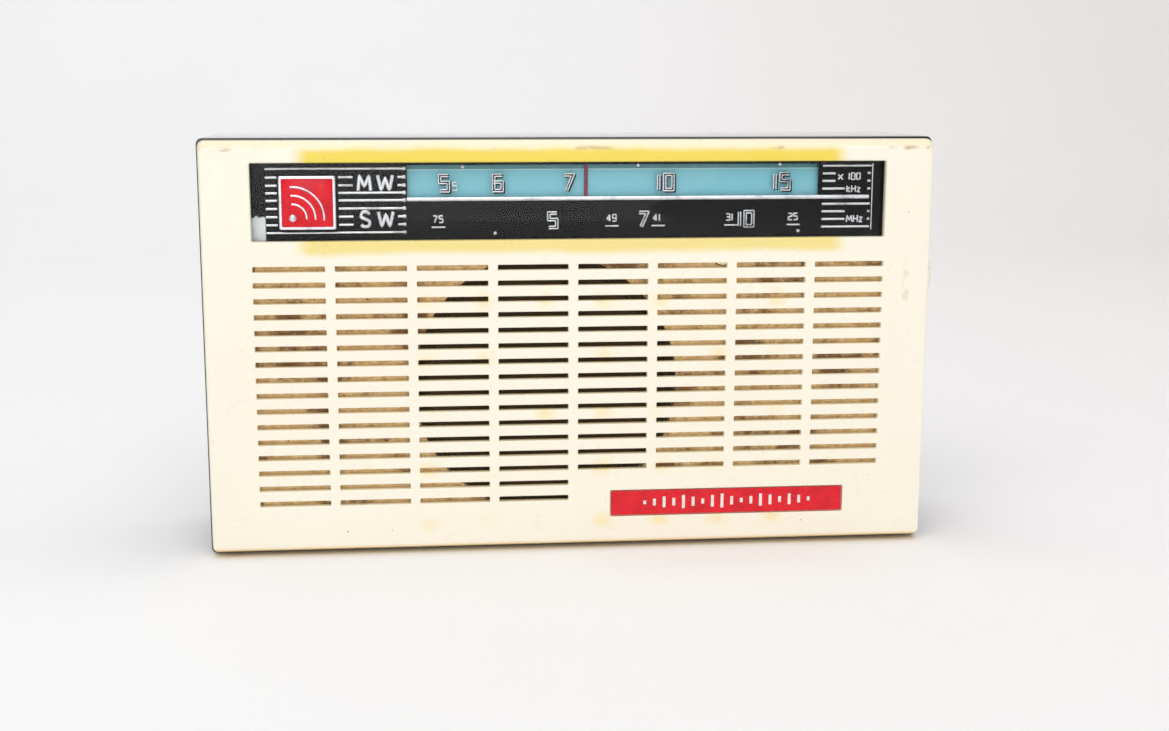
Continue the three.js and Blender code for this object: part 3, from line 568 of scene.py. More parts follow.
def clear_lens_material():
    """Clear acrylic: light goes straight through, and the surface mirrors a little."""
    s = Shader("clear_lens", (1, 1, 1, 1), roughness=0.04)
    scratches = s.rise(s.noise(1.0, detail=6, place=s.stretch((0.5, 1, 3.4))), 0.62, 0.72, 0.03, 0.22)
    gloss = s.add("ShaderNodeBsdfGlossy")
    s.feed(gloss.inputs["Roughness"], scratches)
    through = s.add("ShaderNodeBsdfTransparent")
    through.inputs["Color"].default_value = (0.97, 0.985, 0.98, 1)
    fresnel = s.add("ShaderNodeFresnel")
    fresnel.inputs["IOR"].default_value = 1.49
    share = s.times(fresnel.outputs[0], 0.28)
    blend = s.add("ShaderNodeMixShader")
    s.feed(blend.inputs[0], share)
    s.tree.links.new(through.outputs[0], blend.inputs[1])
    s.tree.links.new(gloss.outputs[0], blend.inputs[2])
    output = s.tree.nodes["Material Output"]
    s.tree.links.new(blend.outputs[0], output.inputs["Surface"])
    s.tree.nodes.remove(s.surface)
    return s.material


def dial_black_material():
    """Gloss black foil, torn away to grey at the lower left corner."""
    s = Shader("dial_black", linear(30, 25, 32), roughness=0.4, specular_ior_level=0.1)
    torn_edge = s.math("ADD", s.z, s.math("MULTIPLY_ADD", s.noise(1.2, detail=4), 3.0, -1.5))
    torn = s.times(s.rise(torn_edge, 81.0, 81.6, 1.0, 0.0), s.rise(s.x, -71.9, -71.5, 1.0, 0.0))
    film = s.mix(s.noise(9, detail=4), linear(5, 3, 6), linear(15, 11, 15))
    grey = s.mix(s.noise(1.5, detail=4), linear(240, 240, 248), linear(255, 255, 255))
    s.colour(s.mix(torn, film, grey))
    s.bump(s.noise(1.4, detail=4), 0.02, 0.4)
    return s.material


def teal_material():
    """The scale backing: even teal, with a painted shadow along its top edge above a painted highlight line.
    """
    s = Shader("dial_teal", linear(96, 178, 190), roughness=0.42)
    mottled = s.mix(s.noise(5, detail=5), linear(126, 208, 232), linear(150, 222, 240))
    fine = s.noise(0.5, detail=3, place=s.stretch((1, 1, 0.5)))
    mottled = s.mix(s.times(fine, 0.18), mottled, linear(170, 226, 230))
    # painted shadow: the teal turns darker above z 92.3, where the window's upper edge shades the backing
    painted_shadow_band = s.rise(s.z, 92.15, 92.3)
    top = s.mix(s.noise(3, detail=3), linear(66, 130, 140), linear(92, 160, 168))
    colour = s.mix(painted_shadow_band, mottled, top)
    # painted highlight: a pale line along the top of the backing, just below the painted shadow
    pale = s.band(s.z, 92.0, 92.2, 0.08)
    s.colour(s.mix(s.times(pale, 0.7), colour, linear(205, 240, 242)))
    return s.material


def enamel_material(name, colour, dark):
    """Red enamel, slightly uneven, with darker patches."""
    s = Shader(name, colour, roughness=0.3, coat_weight=0.1, coat_roughness=0.08, specular_ior_level=0.3)
    s.colour(s.mix(s.rise(s.noise(4, detail=5), 0.35, 0.75), colour, dark))
    s.roughness(s.rise(s.noise(1.2, detail=5), 0.3, 0.75, 0.18, 0.45))
    s.bump(s.noise(0.9, detail=3), 0.02, 0.4)
    return s.material


def board_material():
    """Tan pressed fibreboard with brown damp stains and fibre flecks."""
    s = Shader("baffle_fibreboard", linear(214, 178, 124), roughness=0.9)
    fibres = s.noise(0.7, detail=6, roughness=0.7, place=s.stretch((0.45, 1, 1)))
    base = s.mix(s.rise(fibres, 0.3, 0.7), linear(222, 178, 120), linear(255, 228, 178))
    clouds = s.rise(s.noise(13, detail=6, roughness=0.68), 0.47, 0.62)
    base = s.mix(s.times(clouds, 0.8), base, linear(104, 54, 26))
    flecks = s.rise(s.noise(1.1, detail=3), 0.66, 0.73)
    s.colour(s.mix(flecks, base, linear(74, 42, 24)))
    s.bump(fibres, 0.12, 0.7)
    return s.material


def paper_cone_material():
    """Brown felted paper."""
    s = Shader("cone_paper", linear(92, 76, 54), roughness=0.95)
    felt = s.noise(0.5, detail=6, roughness=0.7)
    s.colour(s.mix(felt, linear(74, 60, 42), linear(126, 106, 76)))
    s.bump(felt, 0.08, 0.7)
    return s.material


def speckled_material(name, first, second, size, roughness, depth=0.02, metallic=0.0):
    """Plain stuff with two close tones: ferrite, nylon, sintered magnet, cardboard tube."""
    s = Shader(name, first, roughness=roughness, metallic=metallic)
    grain = s.noise(size, detail=5, roughness=0.6)
    s.colour(s.mix(s.rise(grain, 0.3, 0.7), first, second))
    s.roughness(s.rise(s.noise(size * 2), 0.3, 0.7, roughness * 0.85, min(1.0, roughness * 1.2)))
    s.bump(grain, depth, 0.5)
    return s.material


def laminate_material():
    """Brown phenolic board; copper tracks show as paler ribbons through the resin."""
    s = Shader("laminate", linear(150, 98, 46), roughness=0.4)
    weave = s.noise(0.6, detail=4)
    base = s.mix(weave, linear(134, 84, 38), linear(168, 114, 58))
    tracks = s.rise(s.cells(6.5, place=s.stretch((1, 0, 1))), 0.1, 0.13)
    s.colour(s.mix(s.times(tracks, 0.35), base, linear(190, 138, 74)))
    s.roughness(s.rise(weave, 0.3, 0.7, 0.3, 0.5))
    s.bump(tracks, 0.03, 0.6)
    return s.material


def winding_material(name, colour, dark, pitch, axis="x"):
    """Insulated wire laid turn by turn along an axis, with painted shade in the hollows between the turns."""
    s = Shader(name, colour, roughness=0.5)
    along = {"x": s.x, "y": s.y, "z": s.z}[axis]
    wave = s.math("SINE", s.times(along, 2 * math.pi / pitch))
    height = s.math("MULTIPLY_ADD", wave, 0.5, 0.5)
    tone = s.mix(s.noise(2, detail=3), colour, dark)
    # painted shade: the colour sinks to the dark tone in the hollows between turns; the noise mix above is
    # the wire's own uneven tone
    s.colour(s.mix(s.rise(height, 0.0, 0.5), dark, tone))
    s.bump(height, pitch * 0.4, 0.8)
    return s.material


def battery_material():
    """A printed steel jacket, blue above and red below, with a thin gold line between them."""
    s = Shader("battery_can", linear(34, 62, 122), roughness=0.32, metallic=0.25)
    upper = s.rise(s.z, 24.8, 25.2)
    jacket = s.mix(upper, linear(196, 62, 40), linear(34, 62, 122))
    line = s.band(s.z, 24.4, 25.6, 0.1)
    jacket = s.mix(line, jacket, linear(222, 190, 110))
    worn = s.rise(s.noise(3, detail=6, roughness=0.65), 0.6, 0.74)
    s.colour(s.mix(s.times(worn, 0.5), jacket, linear(150, 148, 146)))
    s.roughness(s.rise(s.noise(4, detail=5), 0.3, 0.7, 0.22, 0.42))
    s.bump(worn, 0.02, 0.4)
    return s.material


ivory = ivory_material("ivory_plastic", stained_and_shaded=True)
ivory_wheel = ivory_material("ivory_wheel", stained_and_shaded=False)
black_plastic = black_plastic_material()
clear_lens = clear_lens_material()
dial_black = dial_black_material()
dial_teal = teal_material()
badge_red = enamel_material("badge_red", linear(226, 20, 38), linear(202, 12, 32))
chrome = metal_material("chrome_trim", (0.78, 0.77, 0.82, 1), 0.26, grain=(0.6, 3, 3),
                        tarnish=(0.2, 0.19, 0.21, 1))
plated_steel = metal_material("plated_steel", (0.56, 0.57, 0.58, 1), 0.34, tarnish=(0.36, 0.33, 0.28, 1))
aluminium = metal_material("spun_aluminium", (0.76, 0.77, 0.78, 1), 0.3, tarnish=(0.55, 0.54, 0.52, 1))
brass = metal_material("brass", (0.78, 0.6, 0.3, 1), 0.26, tarnish=(0.42, 0.3, 0.14, 1))
maroon = enamel_material("pointer_maroon", linear(158, 34, 78), linear(120, 22, 60))
fibreboard = board_material()
cone_paper = paper_cone_material()
magnet = speckled_material("magnet_ceramic", linear(84, 86, 92), linear(62, 64, 70), 1.2, 0.45, metallic=0.4)
laminate = laminate_material()
ferrite = speckled_material("ferrite", linear(52, 49, 50), linear(74, 70, 70), 0.8, 0.55, depth=0.04)
nylon = speckled_material("nylon", linear(228, 222, 204), linear(214, 205, 182), 3, 0.38)
black_moulding = speckled_material("black_moulding", linear(34, 33, 35), linear(48, 46, 47), 2, 0.5)
red_wire = speckled_material("red_wire", linear(190, 34, 30), linear(160, 24, 24), 2, 0.42)
black_wire = speckled_material("black_wire", linear(30, 29, 31), linear(48, 46, 46), 2, 0.45)
drive_cord = winding_material("drive_cord", linear(224, 212, 180), linear(176, 160, 124), 0.9)
mw_winding = winding_material("litz_winding", linear(176, 122, 66), linear(112, 66, 30), 0.7)
battery_can = battery_material()
bare_white = speckled_material("badge_white", linear(240, 238, 232), linear(220, 216, 210), 1.5, 0.35)
solder = metal_material("solder", (0.72, 0.72, 0.74, 1), 0.25, grain=(3, 3, 3))


# ------------------------------------------------------------------ front panel

FACE_Y = -20
PLATE_BACK = -18
SEAM_Y = -15
LIP_BACK = -14.1
BORDER_DEPTH = 3
CASE_HALF = 87.25
CASE_TOP = 99.6
GRILLE = {"columns": 8, "pitch": 19, "width": 16.7, "row": 3.755, "height": 1.3, "top": 69.46}
DIAL = {"x0": -74.8, "x1": 74.8, "z0": 75.95, "z1": 94.1}
BADGE = {"x0": 9.3, "x1": 66.3, "z0": 8.45, "z1": 14.43}
TUNING = (75.3, 65.2)
VOLUME = (77.95, 36.0)
NOTCHES = ((TUNING[1], 12.0), (VOLUME[1], 9.0))  # height, half of the notch
BOARD_POSTS = [(36, 6.2), (80.5, 6.2), (36, 72)]
BRACKET_POSTS = [(-80.5, 90), (81, 90)]
STAKES = [(-76.5, 13), (-76.5, 70), (76.5, 14), (76.5, 48)]


def opening(x0, x1, z0, z1, radius, flare, back):
    """Cuts from the face to `back`, opening by `flare` at the face, as a moulded lip does."""
    def at(y, more):
        return ring(x0 - more, x1 + more, z0 - more, z1 + more, radius + more, y, 3)
    return [at(FACE_Y - 1, flare), at(FACE_Y, flare), at(FACE_Y + flare * 0.4, flare * 0.3),
            at(FACE_Y + flare, 0), at(back, 0)]


def face_openings():
    """The dial's window, the badge's shallow seat and the grille's slots."""
    openings = [opening(DIAL["x0"], DIAL["x1"], DIAL["z0"], DIAL["z1"], 0.3, 0.3, -17)]
    gap = 0.3
    openings.append(opening(BADGE["x0"] - gap, BADGE["x1"] + gap, BADGE["z0"] - gap, BADGE["z1"] + gap,
                            0.3, 0.1, FACE_Y + 0.9))
    half, tall = GRILLE["width"] / 2, GRILLE["height"] / 2
    for column in range(GRILLE["columns"]):
        x = (column - (GRILLE["columns"] - 1) / 2) * GRILLE["pitch"]
        for row in range(16 if column < 4 else 14):  # the badge takes the place of two rows
            z = GRILLE["top"] - row * GRILLE["row"]
            openings.append(opening(x - half, x + half, z - tall, z + tall, 0.22, 0.16, -17))
    return loft_group("openings", openings)


def front_shell():
    levels = []
    for step in range(5):  # the rounded crease between the face and its sloping border
        t = step / 4
        y = FACE_Y + 0.45 * t * t
        inward = 0.38 * (1 - t) ** 2
        share = (y - FACE_Y) / BORDER_DEPTH
        half = 86.1 + 0.6 * share - inward
        levels.append(ring(-half, half, 2 - 1.2 * share + inward, 97.35 + 1.5 * share - inward, 1.2, y))
    for half, low, high, radius, y in ((86.6, 0.95, 98.9, 1.3, -17.25), (86.68, 0.83, 99.07, 1.4, -16.9),
                                       (86.7, 0.8, 99.1, 1.4, -16.5), (86.7, 0.8, 99.1, 1.4, SEAM_Y - 0.15),
                                       (86.6, 0.9, 99.0, 1.35, SEAM_Y)):
        levels.append(ring(-half, half, low, high, radius, y))
    shell = loft("front_shell", levels)
    join(shell, plate("lip", -84.9, 84.9, 2.35, 97.25, 2, -16, LIP_BACK))
    cut(shell, plate("pocket", -83.7, 83.7, 3.8, 96.1, 1, PLATE_BACK, -13))
    cut(shell, face_openings())

    posts = [(x, z, 2.6, 3.1) for x, z in BOARD_POSTS] + [(x, z, 2.5, -10.9) for x, z in BRACKET_POSTS]
    join(shell, rods("posts", [(x, z, radius, PLATE_BACK - 0.5, end, 40) for x, z, radius, end in posts]
                     + [(x, z, 1.8, PLATE_BACK - 0.5, -15.5, 32) for x, z in STAKES]))
    cut(shell, rods("bores", [(x, z, 1.25, max(end - 7, -17.6), end + 1) for x, z, _, end in posts]))
    join(shell, rods("heads", [(x, z, 3, -15.9, -15.2, 32) for x, z in STAKES]))
    tongues = [box_data(84.9, 86.68, SEAM_Y - 0.3, -9.6, z - half + 0.3, z + half - 0.3)
               for z, half in NOTCHES]
    join(shell, clean(several("tongues", tongues)))
    return smooth(shell, 28)


# ------------------------------------------------------------------ rear case

BACK_Y = 20
WALL = 2
CORNER = 1.4
SLOPE = math.tan(math.radians(1))
SCREW_Z = 79
SOCKETS = {"earphone_socket": 65, "aerial_socket": 76}
SOCKET_Y = -1.25


def case_rings(inset, back_radius, first_y):
    """Rings of the case's outline from the seam to its rounded back."""
    back = BACK_Y - inset - back_radius
    places = [(first_y, 0.0)]
    for turn in [math.pi / 2 * step / 9 for step in range(10)]:
        places.append((back + back_radius * math.sin(turn), back_radius * (1 - math.cos(turn))))
    levels = []
    for y, inward in places:
        taper = SLOPE * (max(y, SEAM_Y) - SEAM_Y)
        half = CASE_HALF - inset - taper - inward
        high = CASE_TOP - inset - taper - inward
        levels.append(ring(-half, half, inset + inward, high, CORNER + inward * 0.5, y))
    return levels


def border_groove(inset, depth=0.35, width=0.45):
    """A narrow groove all round the back, `inset` from its edge."""
    half, top = 86.6 - inset, 98.9 - inset
    groove = plate("groove", -half, half, inset, top, 3, BACK_Y - depth, BACK_Y + 0.5)
    half -= width
    return cut(groove, plate("core", -half, half, inset + width, top - width, 2.6, BACK_Y - 1, BACK_Y + 1))


def rear_shell():
    edge = []
    for y, inward in ((-14.7, 0.22), (-14.67, 0.1), (-14.6, 0.03)):
        half = CASE_HALF - inward
        edge.append(ring(-half, half, inward, CASE_TOP - inward, CORNER - inward / 2, y))
    shell = loft("rear_shell", edge + case_rings(0, 4, -14.45))
    cut(shell, loft("inside", case_rings(WALL, 3, -16)))
    join(shell, rod("screw_boss", 0, SCREW_Z, 6.5, 14.9, BACK_Y - 1, 64))
    cut(shell, turned("screw_hole", [(0, 10), (2, 10), (2, 17.5), (4.9, 17.5), (4.9, 19.75), (5.2, 20),
                                     (5.2, 21), (0, 21)], 64, (0, 0, SCREW_Z)))
    switch_slot = [ring(41, 51, 67.5, 72.5, 0.6, y) for y in (16, 19.7)]
    switch_slot += [ring(40.7, 51.3, 67.2, 72.8, 0.9, y) for y in (20.01, 21)]
    cut(shell, loft("slot", switch_slot))
    cut(shell, loft("recess", [ring(38.4, 53.6, 65.2, 74.8, 1.5, 19.6), ring(38.2, 53.8, 65, 75, 1.7, 20.3)]))
    for inset in (6.0, 7.4):
        cut(shell, border_groove(inset))
    notches = [box_data(80.3, 90, SEAM_Y - 1, -3.2, z - half, z + half) for z, half in NOTCHES]
    cut(shell, clean(several("notches", notches)))
    for height in SOCKETS.values():
        cut(shell, along_x("socket_hole", [(0, -89), (3.7, -89), (3.7, -87.15), (3.3, -86.8), (3.3, -82),
                                           (0, -82)], 48, SOCKET_Y, height))
    return smooth(shell, 28)


finish_piece(front_shell(), ivory, "front_panel")
finish_piece(rear_shell(), black_plastic, "rear_case", body="rear_cover")


# ------------------------------------------------------------------ dial

def lens():
    """Clear cover: a raised window in a thin flange."""
    low, high = 76.15, 93.9
    levels = [ring(-75.7, 76.3, 75.3, 95.6, 0.6, -17.1), ring(-75.7, 76.3, 75.3, 95.6, 0.6, -17.7)]
    for inset, y in ((0, -17.7), (0, -19.35), (0.1, -19.53), (0.3, -19.6)):
        levels.append(ring(-74.6 + inset, 74.6 - inset, low + inset, high - inset, 0.4, y))
    return smooth(loft("lens", levels), 30)


# Letters and numbers as strokes in a box one unit high; each has a width and a list of paths.
GLYPHS = {
    "0": (0.55, [[(0, 0), (0.55, 0), (0.55, 1), (0, 1), (0, 0)]]),
    "1": (0.12, [[(0.06, 0), (0.06, 1)]]),
    "2": (0.55, [[(0, 1), (0.55, 1), (0.55, 0.55), (0, 0.45), (0, 0), (0.55, 0)]]),
    "3": (0.55, [[(0, 1), (0.55, 1), (0.55, 0), (0, 0)], [(0.12, 0.52), (0.55, 0.52)]]),
    "4": (0.58, [[(0.42, 0), (0.42, 1), (0, 0.3), (0.58, 0.3)]]),
    "5": (0.55, [[(0.55, 1), (0, 1), (0, 0.55), (0.55, 0.55), (0.55, 0), (0, 0)]]),
    "6": (0.55, [[(0.55, 1), (0, 1), (0, 0), (0.55, 0), (0.55, 0.55), (0, 0.55)]]),
    "7": (0.58, [[(0, 1), (0.58, 1), (0.16, 0)]]),
    "9": (0.55, [[(0, 0), (0.55, 0), (0.55, 1), (0, 1), (0, 0.45), (0.55, 0.45)]]),
    "M": (0.84, [[(0, 0), (0.1, 1), (0.42, 0.25), (0.74, 1), (0.84, 0)]]),
    "W": (0.98, [[(0, 1), (0.22, 0), (0.49, 0.85), (0.76, 0), (0.98, 1)]]),
    "S": (0.58, [[(0.56, 0.84), (0.42, 1), (0.14, 1), (0, 0.86), (0, 0.64), (0.56, 0.38),
                  (0.56, 0.14), (0.42, 0), (0.14, 0), (0, 0.16)]]),
    "k": (0.5, [[(0, 0), (0, 1)], [(0.48, 0.7), (0, 0.35), (0.5, 0)]]),
    "H": (0.6, [[(0, 0), (0, 1)], [(0.6, 0), (0.6, 1)], [(0, 0.5), (0.6, 0.5)]]),
    "z": (0.5, [[(0, 0.7), (0.5, 0.7), (0, 0), (0.5, 0)]]),
    "x": (0.6, [[(0, 0.75), (0.6, 0.1)], [(0.6, 0.75), (0, 0.1)]]),
}


def lettering(text, x, z, height, gap=0.3):
    """The strokes of `text`, starting at its lower left corner."""
    paths = []
    for letter in text:
        width, strokes = GLYPHS[letter]
        paths += [[(x + px * height, z + pz * height) for px, pz in stroke] for stroke in strokes]
        x += (width + gap) * height
    return paths


def doubled(paths, off):
    """Two parallel strokes for each, so that a letter reads as an outline with a dark core."""
    out = []
    for path in paths:
        points = [Vector(point) for point in path]
        closed = path[0] == path[-1]
        last = len(points) - 1
        for side in (-off, off):
            moved = []
            for i, here in enumerate(points):
                before = points[-2] if i == 0 and closed else points[max(i - 1, 0)]
                after = points[1] if i == last and closed else points[min(i + 1, last)]
                first = (here - before).normalized()
                second = (after - here).normalized()
                along = (first + second).normalized()
                spread = side / max(0.45, abs(along.dot(second if second.length > 0 else first)))
                moved.append((here.x - along.y * spread, here.y + along.x * spread))
            out.append(moved)
    return out


RELIEF_Y = -16.93  # the raised chrome stands on the dial's face at -16.8
LINES_Z = [92.6, 90.6, 88.7, 86.95, 85.2, 83.3, 81.4, 79.5, 77.65]


def left_lines():
    """Nine rules round the emblem: the outer two run through, the others stop beside it."""
    lines = []
    for row, z in enumerate(LINES_Z):
        if row in (0, 8):
            lines.append([(-71.5, z), (-39.6, z)])
            continue
        lines.append([(-71.5, z), (-68.9, z)])
        if row in (1, 2, 6, 7):  # a band letter stands between the two ends
            lines += [[(-54.7, z), (-51.4, z)], [(-41.0, z), (-39.6, z)]]
        else:
            lines.append([(-54.7, z), (-39.6, z)])
    return lines


def right_lines():
    start = 60.1
    long_rules = [(72.0, 92.8), (63.2, 90.95), (63.2, 89.15), (65.6, 87.3), (71.8, 83.65), (65.7, 81.85),
                  (65.7, 80.0), (71.8, 78.15)]
    ticks = [(71.1, 91.0), (71.1, 89.15), (71.1, 87.3), (71.2, 81.85), (71.2, 80.0)]
    return [[(start, z), (end, z)] for end, z in long_rules] + [[(x, z), (71.8, z)] for x, z in ticks]


def large_numbers():
    """The scale's big figures, as outlines: the upper row first, then the lower one."""
    strokes = []
    for text, x in [("5", -31.2), ("6", -18.6), ("7", -2.0), ("10", 20.3), ("15", 48.3)]:
        strokes += lettering(text, x, 87.3, 3.6, 0.34)
    for text, x in [("5", -5.6), ("7", 15.9), ("10", 39.9)]:
        strokes += lettering(text, x, 78.5, 3.4, 0.34)
    return doubled(strokes, 0.28)


def small_numbers():
    """The small figures, the lower row underlined, and the units at the right."""
    strokes = lettering("5", -28.2, 87.4, 1.9)
    for text, x in [("75", -32.8), ("49", 8.2), ("41", 19.3), ("31", 36.9), ("25", 52.0)]:
        strokes += lettering(text, x, 79.9, 1.55, 0.3)
        strokes.append([(x - 0.4, 78.75), (x + 2.8, 78.75)])
    for text, x, z, height, gap in [("x", 63.9, 89.3, 1.9, 0.3), ("100", 66.5, 89.5, 1.5, 0.3),
                                    ("kHz", 66.1, 86.5, 1.5, 0.28), ("MHz", 66.2, 79.3, 1.6, 0.25)]:
        strokes += lettering(text, x, z, height, gap)
    return strokes


def dial_relief():
    """All raised chrome: lines left and right, the divider, letters and numbers."""
    letters = []
    for text, x, z in [("M", -50.2, 87.5), ("W", -45.6, 87.5), ("S", -49.6, 79.0), ("W", -45.6, 79.0)]:
        letters += lettering(text, x, z, 3.5)
    dots = [(-25.8, 92.9), (15.6, 93.1), (49.7, 93.2), (-18.3, 77.2), (54.5, 77.2)]
    return merge(
        "dial_relief",
        tube("dial_lines", left_lines() + right_lines(), 0.28, 0.6, RELIEF_Y),
        studs("line_tips", [(-39.5, z) for z in LINES_Z], 0.46, RELIEF_Y + 0.08),
        tube("dial_divider", [[(-38.9, 85.35), (71.5, 85.35)]], 0.46, 0.5, RELIEF_Y),
        tube("dial_edge", [[(72.3, 77.4), (72.3, 93.3)]], 0.13, 0.6, RELIEF_Y),
        tube("dial_band_letters", letters, 0.42, 0.5, RELIEF_Y),
        tube("scale_numbers", large_numbers(), 0.19, 0.9, RELIEF_Y),
        tube("small_numbers", small_numbers(), 0.2, 0.9, RELIEF_Y),
        studs("scale_dots", dots, 0.42, RELIEF_Y + 0.08),
    )


def scale_shadow():
    """A dark copy of each large number, set below and right of it: a painted shadow that sets the number off
    from the teal.
    """
    off = 0.3
    edges = [[(x + off, z - off) for x, z in stroke] for stroke in large_numbers()]
    return tube("scale_shadow", edges, 0.17, 0.35, RELIEF_Y + 0.09)


def mask():
    """The printed black plate behind the lens, open where the tuning scale shows."""
    front, back = -16.8, -16.4
    outline = plate("mask", -75.7, 76.3, 75.3, 95.6, 0.4, front, back)
    return smooth(cut(outline, plate("window", -38.8, 59.1, 85.7, 93.3, 0.15, -17.5, -16)))


finish_piece(lens(), clear_lens, "dial_lens")
finish_piece(mask(), dial_black, "dial_mask")
# the large numbers' painted shadow, in the dial's black
finish_piece(scale_shadow(), dial_black)
finish_piece(dial_relief(), chrome)


# ------------------------------------------------------------------ emblem and badge

EMBLEM = (-68.3, -55.3, 78.75, 91.1)


def arc(x, z, radius, start, end, steps=24):
    """Points on a circle seen from the front, from one angle to another in degrees."""
    turns = [math.radians(start + (end - start) * i / steps) for i in range(steps + 1)]
    return [(x + radius * math.cos(turn), z + radius * math.sin(turn)) for turn in turns]


def inner_ring(outline, inset, radius, y, steps=6):
    x0, x1, z0, z1 = outline
    return ring(x0 + inset, x1 - inset, z0 + inset, z1 - inset, radius, y, steps)


def emblem_frame():
    raised = loft("emblem_frame", [inner_ring(EMBLEM, 0, 0.4, -18.9), inner_ring(EMBLEM, 0, 0.4, -19.75),
                                   inner_ring(EMBLEM, 0.2, 0.4, -19.9)])
    hollow = loft("hollow", [inner_ring(EMBLEM, 0.5, 0.3, -20.4), inner_ring(EMBLEM, 0.6, 0.3, -19.6)])
    return smooth(cut(raised, hollow), 25)


def emblem_enamel():
    floor = inner_ring(EMBLEM, 0.62, 0.3, -19.62, 4)
    return smooth(loft("emblem_enamel", [floor, inner_ring(EMBLEM, 0.7, 0.3, -19.68, 4)]))


def emblem_signs():
    """Raised waves spreading from a dot, the usual sign for a broadcast."""
    centre = (-65.2, 81.4)
    waves = [arc(*centre, radius, -4, 94) for radius in (3.2, 5.2, 7.2)]
    return merge("emblem_signs", tube("emblem_waves", waves, 0.26, 0.55, -19.6),
                 studs("emblem_dot", [centre], 0.85, -19.64))


def badge_plate():
    outline = tuple(BADGE.values())
    levels = [inner_ring(outline, inset, 0.3, y) for inset, y in ((0, -19.4), (0, -19.86), (0.14, -20.0))]
    return smooth(loft("badge_plate", levels), 25)


def badge_sign():
    """A run of upright sound bars, in place of a name."""
    heights = [0.9, 1.7, 2.7, 1.9, 3.3, 2.3, 1.3, 2.9, 3.5, 2.1, 1.1, 1.9, 3.1, 2.5, 1.5, 2.7, 1.9, 1.0]
    first, last, middle = 17.5, 58.1, 11.5
    pitch = (last - first) / (len(heights) - 1)
    bars = []
    for i, tall in enumerate(heights):
        x = first + i * pitch
        bars.append([(x, middle - tall / 2), (x, middle + tall / 2)])
    return tube("badge_sign", bars, 0.36, 0.22, -20.0)


finish_piece(emblem_enamel(), badge_red)
finish_piece(emblem_frame(), chrome, "emblem_plate")
finish_piece(emblem_signs(), chrome)
finish_piece(badge_plate(), badge_red, "name_badge")
finish_piece(badge_sign(), bare_white, slot="badge_red")


# ------------------------------------------------------------------ thumbwheels and dial drive

WHEEL_FRONT, WHEEL_BACK = -9.2, -3.8
CORD_Y = -12.3
IDLERS = {"idler_left": (-72, 81), "idler_upper_right": (80.9, 81), "idler_lower_right": (64.9, 76.2)}


def around(axis, radius, turns):
    """Points round an axis, one for each angle in radians."""
    x, z = axis
    return [(x + radius * math.cos(turn), z + radius * math.sin(turn)) for turn in turns]


def ribbed_wheel(name, axis, radius, ribs, bore):
    """A thumbwheel with a milled rim, a recessed web on both sides and a hub."""
    y0, y1 = WHEEL_FRONT, WHEEL_BACK
    depth = 0.42
    wave = [0.0, 0.0, 0.12, 1.0, 1.0, 0.12]
    sides = ribs * len(wave)
    hub = max(bore + 2.4, 4.2)
    section = [(bore, y0, 0), (hub, y0, 0), (hub + 0.3, y0 + 1.4, 0), (radius - 3.4, y0 + 1.4, 0),
               (radius - 3.0, y0, 0), (radius - 0.9, y0, 0), (radius - 0.35, y0 + 0.2, 0.6),
               (radius, y0 + 0.6, 1), (radius, y1 - 0.6, 1), (radius - 0.35, y1 - 0.2, 0.6),
               (radius - 0.9, y1, 0), (radius - 3.0, y1, 0), (radius - 3.4, y1 - 1.4, 0),
               (hub + 0.3, y1 - 1.4, 0), (hub, y1, 0), (bore, y1, 0)]
    x, z = axis
    vertices = []
    for base, y, share in section:
        for i in range(sides):
            turn = 2 * math.pi * i / sides
            r = base - depth * share * wave[i % len(wave)]
            vertices.append((x + r * math.cos(turn), y, z + r * math.sin(turn)))
    faces = []
    for level in range(len(section)):
        near = level * sides
        far = (level + 1) % len(section) * sides
        for i in range(sides):
            j = (i + 1) % sides
            faces.append((near + i, near + j, far + j, far + i))
    return smooth(clean(mesh_object(name, vertices, faces)), 30)


finish_piece(ribbed_wheel("tuning_thumbwheel", TUNING, 15, 60, 1.8), ivory_wheel, "tuning_wheel",
             body="tuning_spindle", slot="ivory_plastic")
finish_piece(ribbed_wheel("volume_thumbwheel", VOLUME, 11, 48, 1.5), ivory_wheel, "volume_wheel",
             body="volume_spindle", slot="ivory_plastic")
finish_piece(on_axis("volume_axle", [(0, -9.5), (0.9, -9.5), (1.3, -9.2), (1.45, -9), (1.45, 0.3), (1.2, 0.5),
                                     (0, 0.5)], 32, VOLUME), brass, body="volume_spindle")
finish_piece(on_axis("tuning_axle", [(0, -14.05), (1.1, -14.05), (1.45, -13.75), (1.45, -0.8), (1.1, -0.5),
                                     (0, -0.5)], 32, TUNING), plated_steel, body="tuning_spindle")


def cord_drum():
    """The drum that pulls the cord: a groove between two flanges, with six lightening holes."""
    half = [(1.5, -13.65), (4.2, -13.65), (4.4, -13.4), (8.6, -13.4), (8.75, -13.65), (9, -13.5), (9, -13.25),
            (8.8, -13.1), (7.6, -12.8), (7.2, -12.6)]
    rear = [(7.2, -12.0), (7.6, -11.8), (8.8, -11.5), (9, -11.35), (9, -11.1), (8.75, -10.95), (1.5, -10.95)]
    drum = on_axis("cord_drum", half + rear + [half[0]], 96, TUNING)
    holes = around(TUNING, 5.7, [math.pi / 3 * i for i in range(6)])
    return smooth(cut(drum, rods("lightening", [(x, z, 0.95, -15, -9.5, 24) for x, z in holes])))


def idler_pulley(name, axis):
    half = [(1.15, -13.55), (1.25, -13.65), (2.8, -13.65), (2.9, -13.55), (2.9, -13.3), (2.75, -13.15),
            (2.0, -12.75)]
    rear = [(1.95, -11.85), (2.75, -11.45), (2.9, -11.3), (2.9, -11.05), (2.8, -10.95), (1.25, -10.95),
            (1.15, -11.05)]
    pulley = on_axis(name + "_pulley", half + rear + [half[0]], 48, axis)
    holes = around(axis, 2.05, (0.4, 2.5, 4.6))
    return smooth(cut(pulley, rods("holes", [(x, z, 0.28, -14, -10, 12) for x, z in holes])))


